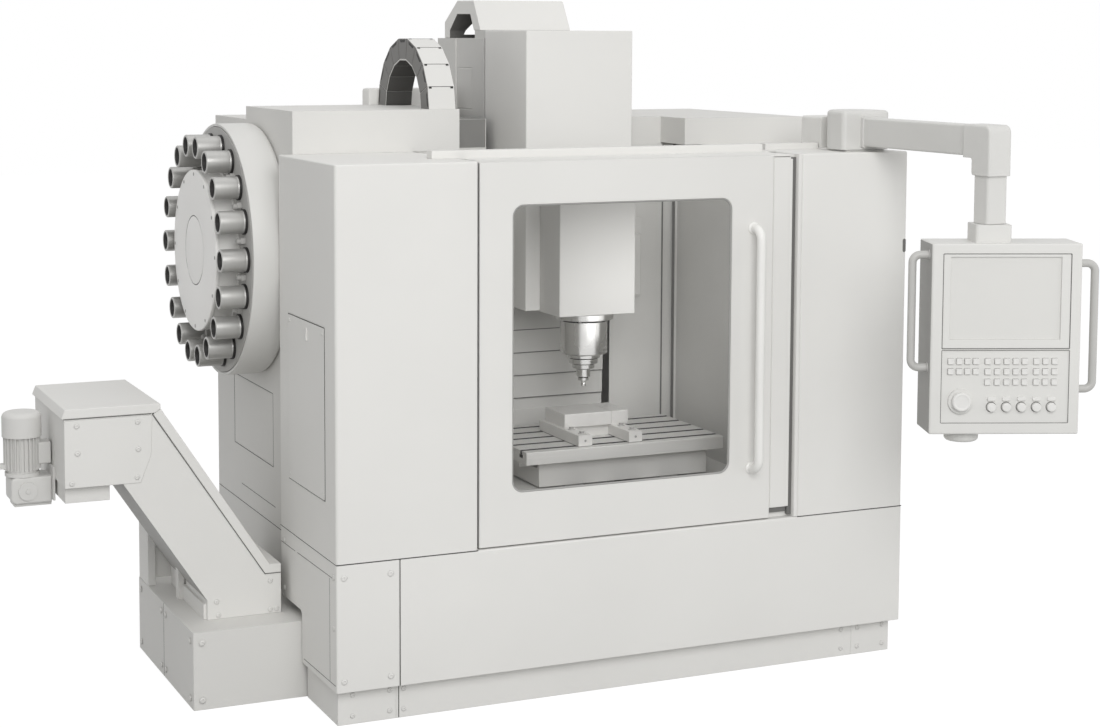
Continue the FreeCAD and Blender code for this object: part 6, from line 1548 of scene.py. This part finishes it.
# ---------------------------------------------------------------- the energy chain
@dataclass
class EnergyChain(Assembly):
    """The chain's links, with dark side plates, their clip slots and the lids' joints."""

    link_angle: float = 20.0
    links: int = 9
    leg_links: int = 3
    outer: float = 0.302
    inner: float = 0.210
    inner_margin: float = 0.006
    outer_margin: float = 0.0006
    joint: float = 0.0016
    plate: float = 0.0022
    hole_radius: float = 0.009
    sink: float = 0.0003
    bevel_share: float = 0.4
    slot_rise: float = 0.0006
    slot_span: tuple[float, float, float] = (0.075, 0.004, 0.020)  # margins as in sector's span
    lid_inset: float = 0.004
    lid_joint: float = 0.0022
    notch_inset: float = 0.011
    notch_half: float = 0.006
    notch_width: float = 0.008
    inward: float = -0.3  # a face that looks to the bend's middle by this cosine is on the inside
    y: float = field(init=False)
    z: float = field(init=False)

    def build(self) -> None:
        """Lays a plate with its clip slot on each side of each link of the bend, and on the legs."""
        links = self.twin("cable_chain")
        low, high = corners("cable_chain")
        self.y = (low[1] + high[1]) / 2
        self.z = high[2] - self.outer * math.cos(math.radians(self.link_angle / 2))
        centre, normal = links.faces()
        away = centre - (0.0, self.y, self.z)
        away[:, 0] = 0.0
        away[:, 2] = np.maximum(away[:, 2], 0.0)
        links.tint((away * normal).sum(1) < self.inward * np.linalg.norm(away, axis=1), CHAIN_INNER)
        sides = [(low[0], Facing.LEFT), (high[0], Facing.RIGHT)]
        span = (self.inner_margin, self.outer_margin, self.joint)
        plates = [self.sector(index, x, facing, span, (-self.sink, self.plate)) for x, facing in sides
                  for index in range(self.links)]
        plates.append(self.leg_plate().repeated(self.leg_spots(sides, 0.0)))
        self.add("chain_side_plates", merged(plates), CHAIN_SIDE, "energy_chain", Slot.CHAIN)
        lifts = (self.plate - self.sink, self.plate + self.slot_rise)
        slots = [self.sector(index, x, facing, self.slot_span, lifts) for x, facing in sides
                 for index in range(self.links)]
        slots += [self.lid_notch(index, low[0], high[0]) for index in range(self.links + 1)]
        r, rise = self.hole_radius, self.slot_rise
        hole = turned([(r, -self.sink), (r, rise), (0.0, rise)], 20)
        slots.append(hole.repeated(self.leg_spots(sides, self.plate)))
        self.add("chain_clip_slots", merged(slots), DARK_SEAM, "energy_chain", Slot.CHAIN)

    def lid_notch(self, index: int, left: float, right: float) -> Shell:
        """The dark joint across the lids at the end of a link, with a clip notch near each side.

        Args:
            index: The number of the joint round the bend.
            left: The lids' left end.
            right: The lids' right end.

        Returns:
            The shell.
        """
        a = math.radians((index - self.links / 2) * self.link_angle)
        out = (0.0, math.sin(a), math.cos(a))
        y, z = self.y + self.outer * out[1], self.z + self.outer * out[2]
        along = np.array((0.0, out[2], -out[1]))
        bars = [strip((left + self.lid_inset, y, z), (right - self.lid_inset, y, z), out, self.lid_joint)]
        for x in (left + self.notch_inset, right - self.notch_inset):
            middle = np.array((x, y, z)) + along * self.lid_inset * math.copysign(1, a)
            reach = np.array((self.notch_half, 0, 0))
            bars.append(strip(tuple(middle - reach), tuple(middle + reach), out, self.notch_width))
        return merged(bars)

    def leg_plate(self) -> Shell:
        """The plate on the side of a leg's link.

        Returns:
            The shell about its own middle.
        """
        height = (self.outer + self.inner) / 2 * math.radians(self.link_angle)
        width = self.outer - self.inner - 2 * self.inner_margin
        return layered(width, height - 2 * self.joint, 0.002,
                       [(0.0, -self.sink), (0.0, self.plate * (1 - self.bevel_share)), (0.0012, self.plate)],
                       steps=2)

    def leg_spots(self, sides: Sequence[tuple[float, Facing]], lift: float) -> list[Spot]:
        """The middles of the legs' links.

        Args:
            sides: The x of each side face, and the way that it looks.
            lift: How far the spots stand off the side face.

        Returns:
            The spots on both sides.
        """
        reach = (self.outer + self.inner) / 2
        pitch = reach * math.radians(self.link_angle)
        return [Spot((x + facing.value[0] * lift, self.y + sign * reach, self.z - (k + 0.5) * pitch),
                     facing.value)
                for x, facing in sides for sign in (-1, 1) for k in range(self.leg_links)]

    def sector(self, index: int, x: float, facing: Facing, span: tuple[float, float, float],
               lifts: Pair) -> Shell:
        """One plate: a straight-edged ring sector, pulled in on its four sides, with a bevelled edge.

        Its outline's points are (r sin(a + m), r cos(a + m)) with r = reach / cos a, which keeps each long
        edge straight, for a from -w to w about the link's own middle m.

        Args:
            index: The link's number round the bend.
            x: The link's side face.
            facing: The way that the face looks.
            span: How far it is pulled in at the inner edge, at the outer edge and at each joint.
            lifts: How far its foot and its top stand off the side face.

        Returns:
            The plate's shell.
        """
        middle = math.radians((index - (self.links - 1) / 2) * self.link_angle)
        half = math.radians(self.link_angle / 2)
        bevel = self.bevel_share * (lifts[1] - lifts[0])
        rows = []
        for inset, lift in ((0.0, lifts[0]), (0.0, lifts[1] - bevel), (bevel, lifts[1])):
            outline = []
            for radius, margin, sign in ((self.outer, span[1], 1), (self.inner, span[0], -1)):
                reach = radius * math.cos(half) - sign * (margin + inset)
                turn = half - (span[2] + inset) / radius
                a = np.linspace(-turn, turn, 5) * sign
                r = reach / np.cos(a)
                outline.append(np.column_stack((r * np.sin(a + middle), r * np.cos(a + middle))))
            flat = np.vstack(outline)
            out = facing.value[0] * lift
            side = np.full(len(flat), x + out)
            rows.append(np.column_stack((side, self.y + flat[:, 0], self.z + flat[:, 1])))
        return grid(np.array(rows), capped=True)


# ---------------------------------------------------------------- the chip conveyor
@dataclass
class Conveyor(Assembly):
    """The chip conveyor's trough, lids, drive and belt."""

    edge: float = 0.002
    lid_edge: float = 0.003
    fine_crease: float = 24.0
    under: float = -0.3  # a face whose normal passes this to the left and down is the incline's underside
    # Places in millimetres: the screws' x and z on the cheek and on the foot, and the y of those two faces.
    cheek_screws: tuple[Pair, ...] = ((-829.0, 1103.0), (-598.0, 1103.0), (-596.0, 998.0),
                                      (-827.0, 998.0), (-850.0, 886.0), (-602.0, 890.0))
    foot_screws: tuple[Pair, ...] = ((-296.0, 371.0), (-79.0, 432.0), (-80.0, 318.0), (-54.0, 318.0),
                                     (-289.0, 318.0))
    cheek_place: float = 571.0
    side_place: float = 575.0
    lid_lines: tuple[Line, ...] = (((-37, 571.8, 463), (-101, 571.8, 463)),
                                   ((-101, 571.8, 463), (-541, 571.8, 1129)),
                                   ((-876, 570.9, 1131.5), (-545, 570.9, 1131.5)))
    head_line: Line = ((-876, 573, 1131.5), (-876, 1152, 1131.5))
    seam_width: float = 0.003
    tank_screw_size: Pair = (0.0105, 0.0035)  # radius and height
    tank_column: float = -396.0
    tank_rows: Pair = (38.0, 262.0)
    tank_side: tuple[float, ...] = (470.0, 850.0, 920.0, 1264.0)

    def build(self) -> None:
        """Rounds the sheet's edges and sets the screws on the operator's side."""
        trough = self.twin("conveyor_trough", self.edge)
        normal = trough.faces()[1]
        trough.tint((normal[:, 0] < self.under) & (normal[:, 2] < self.under), SHADE_PAINT)
        for node in ("conveyor_incline_lid", "conveyor_head_lid"):
            self.twin(node, self.lid_edge)
        seams = [seam(line, Facing.FRONT, self.seam_width) for line in self.lid_lines]
        seams.append(seam(self.head_line, Facing.LEFT, self.seam_width))
        self.add("conveyor_seams", merged(seams), FINE_SEAM_AND_SHADOW)
        for node in ("conveyor_belt", "conveyor_shaft", "gear_motor", "gearbox"):
            self.twin(node, crease=self.fine_crease)
        heads = [(x, self.cheek_place, z) for x, z in self.cheek_screws]
        heads += [(x, self.side_place, z) for x, z in self.foot_screws]
        self.keep(screws("conveyor_screws", faced(heads, Facing.FRONT)))
        low = corners("coolant_tank")[0]
        spots = [Spot((at(self.tank_column, 0, 0)[0], low[1], z * MM), Facing.FRONT.value)
                 for z in self.tank_rows]
        spots += [Spot((low[0], at(0, y, 0)[1], z * MM), Facing.LEFT.value)
                  for y in self.tank_side for z in self.tank_rows]
        self.keep(screws("tank_screws", spots, FIXED, *self.tank_screw_size))


# ---------------------------------------------------------------- the operator panel
@dataclass
class OperatorPanel(Assembly):
    """The swinging arm and the panel: housing, screen, keys, buttons and jog dial."""

    turn: float = math.radians(-22.0)
    arm_edge: float = 0.003
    housing_edge: float = 0.0035
    screen_edge: float = 0.001
    key_size: float = 0.022
    key_height: float = 0.0058
    field_depth: float = 0.0025
    # Places on the face in millimetres from its upper left corner: each key field's columns and rows.
    key_columns: tuple[tuple[tuple[float, ...], tuple[float, ...]], ...] = (
        ((77, 109, 140, 171), (440, 478)), ((216, 252, 287, 321, 354), (440, 479, 518)),
        ((398, 432, 466), (440, 479, 518)))
    label_columns: tuple[float, ...] = (232.0, 288.2, 344.4, 400.6, 456.8)
    label_row: float = 581.0
    button_row: float = 612.0
    dial_place: Pair = (116.0, 590.0)
    # The upper left corner of the face as x and y from the pivot at rest and z over the floor.
    face: tuple[float, float, float] = (-237.0, -100.0, 1805.0)
    pivot: Pair = (2332.0, -738.0)
    width: float = 562.0
    side_reach: Pair = (3.0, 4.0)  # mm: a side's faces lie within the first, the handles beyond the second
    # The fields' rims as left, right, top and bottom, and how far each stands out of the face.
    frames: tuple[tuple[float, ...], ...] = ((43, 521, 38, 393), (43, 521, 399, 672), (70, 486, 49, 360))
    frame_lifts: tuple[float, ...] = (0.0002, 0.0002, -0.0104)

    def build(self) -> None:
        """Makes the keys and the knobs, and rounds the castings."""
        self.twin("pendant_arm", self.arm_edge, ARM_PAINT)
        housing = self.twin("panel_housing", self.housing_edge, PANEL_PAINT)
        centre, normal = housing.faces()
        c, t = math.cos(self.turn), math.sin(self.turn)
        pivot = np.array(at(*self.pivot, 0))
        across = (centre - pivot)[:, :2] @ (c, t) / MM - self.face[0]
        near, beyond = self.side_reach
        # The housing's left side gets painted shade.
        housing.tint((np.abs(normal[:, :2] @ (c, t)) > ALONG) & (np.abs(across) < near), PANEL_SIDE_SHADE)
        housing.tint((across < -beyond) | (across > self.width + beyond), TUBE_PAINT)
        self.twin("panel_screen", self.screen_edge)
        self.add("panel_keys", self.keys(), None, "panel", Slot.KEY, ["key_set"])
        # Dark rims round the keys, buttons and dial: painted shadow; round the key fields: joints.
        self.add("key_shadow_rims", self.key_rims(), FINE_SEAM_AND_SHADOW, "panel", Slot.KEY)
        for index, column in enumerate(self.label_columns, 1):
            self.add(f"button_cap_{index}", self.button(column), None, f"button_{index}", Slot.KEY,
                     [f"push_button_{index}"])
        self.add("jog_wheel", self.dial(), None, "dial", Slot.KEY, ["jog_dial"])

    def spot(self, u: float, v: float) -> Spot:
        """A place on the panel's face.

        Args:
            u: Millimetres to the right of the face's upper left corner.
            v: Millimetres below that corner.

        Returns:
            The spot, which looks out of the face.
        """
        x, y = self.face[0] + u, self.face[1]
        c, s = math.cos(self.turn), math.sin(self.turn)
        place = at(self.pivot[0] + x * c - y * s, self.pivot[1] + x * s + y * c, self.face[2] - v)
        return Spot(place, (s, -c, 0.0))

    def keys(self) -> Shell:
        """The thirty-two keys, each a cap with a dished top, and the label caps above the buttons.

        Returns:
            The shell.
        """
        size, rise, sink = self.key_size, self.key_height, self.field_depth
        cap = layered(size, size, 0.0025, [(0.0, -sink), (0.0, rise - 0.002), (0.0006, rise - 0.0008),
                                           (0.0018, rise), (0.004, rise - 0.0004)], steps=3)
        label = layered(0.030, 0.015, 0.006, [(0.0, -sink), (0.0, 0.0035), (0.001, 0.0045)], steps=5)
        labels = [self.spot(u, self.label_row) for u in self.label_columns]
        return merged([cap.repeated(self.key_spots()), label.repeated(labels)])

    def key_spots(self) -> list[Spot]:
        """The middles of the thirty-two keys."""
        return [self.spot(u, v) for columns, rows in self.key_columns for u in columns for v in rows]

    def key_rims(self) -> Shell:
        """The dark rims: painted shadow round the keys, buttons, dial and screen, and joints round the key
        fields.

        Returns:
            The shell.
        """
        size, sink = self.key_size + 0.002, self.field_depth
        foot = -sink - 0.0002
        rim = layered(size, size, 0.003, [(0.0, foot), (0.0, 0.0004 - sink)], steps=2)
        ring = washer(0.0174, 0.0195, foot, 0.0006 - sink, 36)
        rims = [rim.repeated(self.key_spots()),
                ring.repeated([self.spot(u, self.button_row) for u in self.label_columns]),
                washer(0.0425, 0.0455, foot, 0.0005 - sink, 64).placed(self.spot(*self.dial_place))]
        for (left, right, top, bottom), lift in zip(self.frames, self.frame_lifts):
            section = [(-0.0014, lift - 0.0006), (-0.0014, lift), (0.0008, lift), (0.0008, lift - 0.0006)]
            width, height = (right - left) * MM, (bottom - top) * MM
            field_rim = layered(width, height, 0.003, section, closed=True, steps=3)
            rims.append(field_rim.placed(self.spot((left + right) / 2, (top + bottom) / 2)))
        return merged(rims)

    def button(self, column: float) -> Shell:
        """A push button: a stem in the housing, a collar line and a domed cap.

        Args:
            column: Its place across the face in millimetres.

        Returns:
            The shell.
        """
        profile = [(0.0, -0.010), (0.017, -0.010), (0.017, 0.010), (0.0155, 0.0132), (0.012, 0.0137),
                   (0.0, 0.014)]
        return turned(softened(profile, 0.0012), 40).placed(self.spot(column, self.button_row))

    def dial(self) -> Shell:
        """The jog dial: a knob with a finely scalloped side and a dished top.

        The side's radius is r + depth cos(n a), which gives n scallops.

        Returns:
            The shell.
        """
        steps, scallops, depth = 120, 30, 0.0006
        angle = np.linspace(0, 2 * math.pi, steps, endpoint=False)
        scallop = depth * np.cos(scallops * angle)
        profile = [(0.008, -0.020), (0.008, 0.006), (0.0345, 0.006), (0.0354, 0.008), (0.0354, 0.022),
                   (0.032, 0.0255), (0.027, 0.026), (0.024, 0.0245), (0.0, 0.0245)]
        profile = np.array(softened(profile, 0.0012))
        side = np.clip((profile[:, :1] - 0.033) / 0.002, 0, 1)
        radius = profile[:, :1] + side * scallop
        points = np.stack((radius * np.cos(angle), radius * np.sin(angle),
                           np.broadcast_to(profile[:, 1:], radius.shape)), -1)
        return grid(points).placed(self.spot(*self.dial_place))


# ---------------------------------------------------------------- the studio
@dataclass(frozen=True)
class Lamp:
    """A square soft lamp: where it hangs, the point that it faces, its edge length and its power in watts."""

    name: str
    place: Point
    target: Point
    size: float
    power: float

    def build(self) -> None:
        """Hangs the lamp and turns it to its target."""
        data = bpy.data.lights.new(self.name, "AREA")
        data.size = self.size
        data.energy = self.power
        lamp = bpy.data.objects.new(self.name, data)
        lamp.location = self.place
        x, y, z = np.array(self.target) - np.array(self.place)
        lamp.rotation_euler = (math.atan2(math.hypot(x, y), -z), 0.0, math.atan2(-x, y))
        bpy.context.scene.collection.objects.link(lamp)


@dataclass
class Studio:
    """The pale floor, the soft lamps and the camera."""

    camera_place: Point = (-3.5736, -7.831, 2.5592)
    pitch: float = math.radians(84.983)
    yaw: float = math.radians(-23.458)
    roll: float = -0.0024
    lens: float = 66.05
    sensor: float = 36.0
    farthest: float = 100.0
    shift: Pair = (0.0418, -0.1354)
    lamps: tuple[Lamp, ...] = (
        Lamp("key_lamp", (-2.2, -8.7, 5.4), (0.0, -0.9, 1.4), 5.0, 425.0),
        Lamp("left_lamp", (-7.5, 0.5, 3.4), (-1.0, 0.0, 1.0), 4.0, 13.0),
        Lamp("right_lamp", (4.6, -4.8, 1.5), (1.0, -0.9, 1.2), 2.5, 34.0),
        Lamp("top_lamp", (0.0, 0.5, 7.0), (0.0, 0.0, 1.0), 5.0, 50.0),
        Lamp("chamber_lamp", at(1480, 140, 1560), at(1250, 800, 1500), 0.6, 1.4))
    ambient: float = 0.585
    floor_size: float = 60.0
    floor_bounce: Colour = (0.45, 0.45, 0.445)
    floor_share: float = 0.8
    floor_glow: float = 1.11
    floor_roughness: float = 0.9

    def build(self) -> None:
        """Sets the room up."""
        self.world()
        self.floor()
        for lamp in self.lamps:
            lamp.build()
        self.camera()

    def seen(self, tree: bpy.types.NodeTree) -> bpy.types.NodeSocket:
        """1 for what the camera, gloss and glass see, and 0 for what lights the machine.

        Args:
            tree: The node tree that it goes into.

        Returns:
            The socket with 1 or 0.
        """
        path = tree.nodes.new("ShaderNodeLightPath")
        value = path.outputs["Is Camera Ray"]
        for other in ("Is Glossy Ray", "Is Transmission Ray"):
            larger = tree.nodes.new("ShaderNodeMath")
            larger.operation = "MAXIMUM"
            tree.links.new(value, larger.inputs[0])
            tree.links.new(path.outputs[other], larger.inputs[1])
            value = larger.outputs[0]
        return value

    def world(self) -> None:
        """A white surround to look at, and a plain level for the light."""
        world = bpy.data.worlds.new("surround")
        bpy.context.scene.world = world
        world.use_nodes = True
        tree = world.node_tree
        level = tree.nodes.new("ShaderNodeMapRange")
        level.inputs["To Min"].default_value = self.ambient
        level.inputs["To Max"].default_value = 1.0
        tree.links.new(self.seen(tree), level.inputs["Value"])
        background = tree.nodes["Background"]
        background.inputs["Color"].default_value = (1.0, 1.0, 1.0, 1.0)
        tree.links.new(level.outputs["Result"], background.inputs["Strength"])

    def floor(self) -> None:
        """A pale floor that shows white apart from the machine's soft shadow."""
        half = self.floor_size / 2
        mesh = bpy.data.meshes.new("studio_floor")
        square = [(-half, -half, 0), (half, -half, 0), (half, half, 0), (-half, half, 0)]
        mesh.from_pydata(square, [], [(0, 1, 2, 3)])
        floor = bpy.data.objects.new("studio_floor", mesh)
        bpy.context.scene.collection.objects.link(floor)
        material = bpy.data.materials.new("studio_floor")
        material.use_nodes = True
        tree = material.node_tree
        seen = self.seen(tree)
        paint = tree.nodes["Principled BSDF"]
        paint.inputs["Roughness"].default_value = self.floor_roughness
        tree.links.new(colour_mix(tree, seen, self.floor_bounce, (1.0, 1.0, 1.0)), paint.inputs["Base Color"])
        glow = tree.nodes.new("ShaderNodeEmission")
        glow.inputs["Strength"].default_value = self.floor_glow
        share = tree.nodes.new("ShaderNodeMath")
        share.operation = "MULTIPLY"
        share.inputs[1].default_value = self.floor_share
        tree.links.new(seen, share.inputs[0])
        mix = tree.nodes.new("ShaderNodeMixShader")
        tree.links.new(share.outputs[0], mix.inputs[0])
        tree.links.new(paint.outputs[0], mix.inputs[1])
        tree.links.new(glow.outputs[0], mix.inputs[2])
        tree.links.new(mix.outputs[0], tree.nodes["Material Output"].inputs["Surface"])
        mesh.materials.append(material)

    def camera(self) -> None:
        """The camera at the photograph's viewing angle."""
        data = bpy.data.cameras.new("camera")
        data.lens = self.lens
        data.sensor_width = self.sensor
        data.shift_x, data.shift_y = self.shift
        data.clip_end = self.farthest
        camera = bpy.data.objects.new("camera", data)
        camera.location = self.camera_place
        camera.rotation_euler = (self.pitch, self.roll, self.yaw)
        bpy.context.scene.collection.objects.link(camera)
        bpy.context.scene.camera = camera
        bpy.context.scene.view_settings.view_transform = "Standard"


# ---------------------------------------------------------------- the whole machine
def main() -> None:
    """Builds the studio and the machine's parts in order, and reports each piece."""
    logging.basicConfig(level=logging.INFO, format="%(name)s: %(message)s")
    Studio().build()
    parts: list[Assembly] = [Enclosure(), Seams(), RearSide(), Door(), Chamber(), SpindleHead(), Magazine(),
                             EnergyChain(), Conveyor(), OperatorPanel()]
    for part in parts:
        part.build()
        for piece in part.pieces:
            log.info("%s: %s on %s, %d faces", type(part).__name__, piece.obj.name, piece.body,
                     len(piece.obj.data.polygons))


if __name__ == "__main__":
    main()
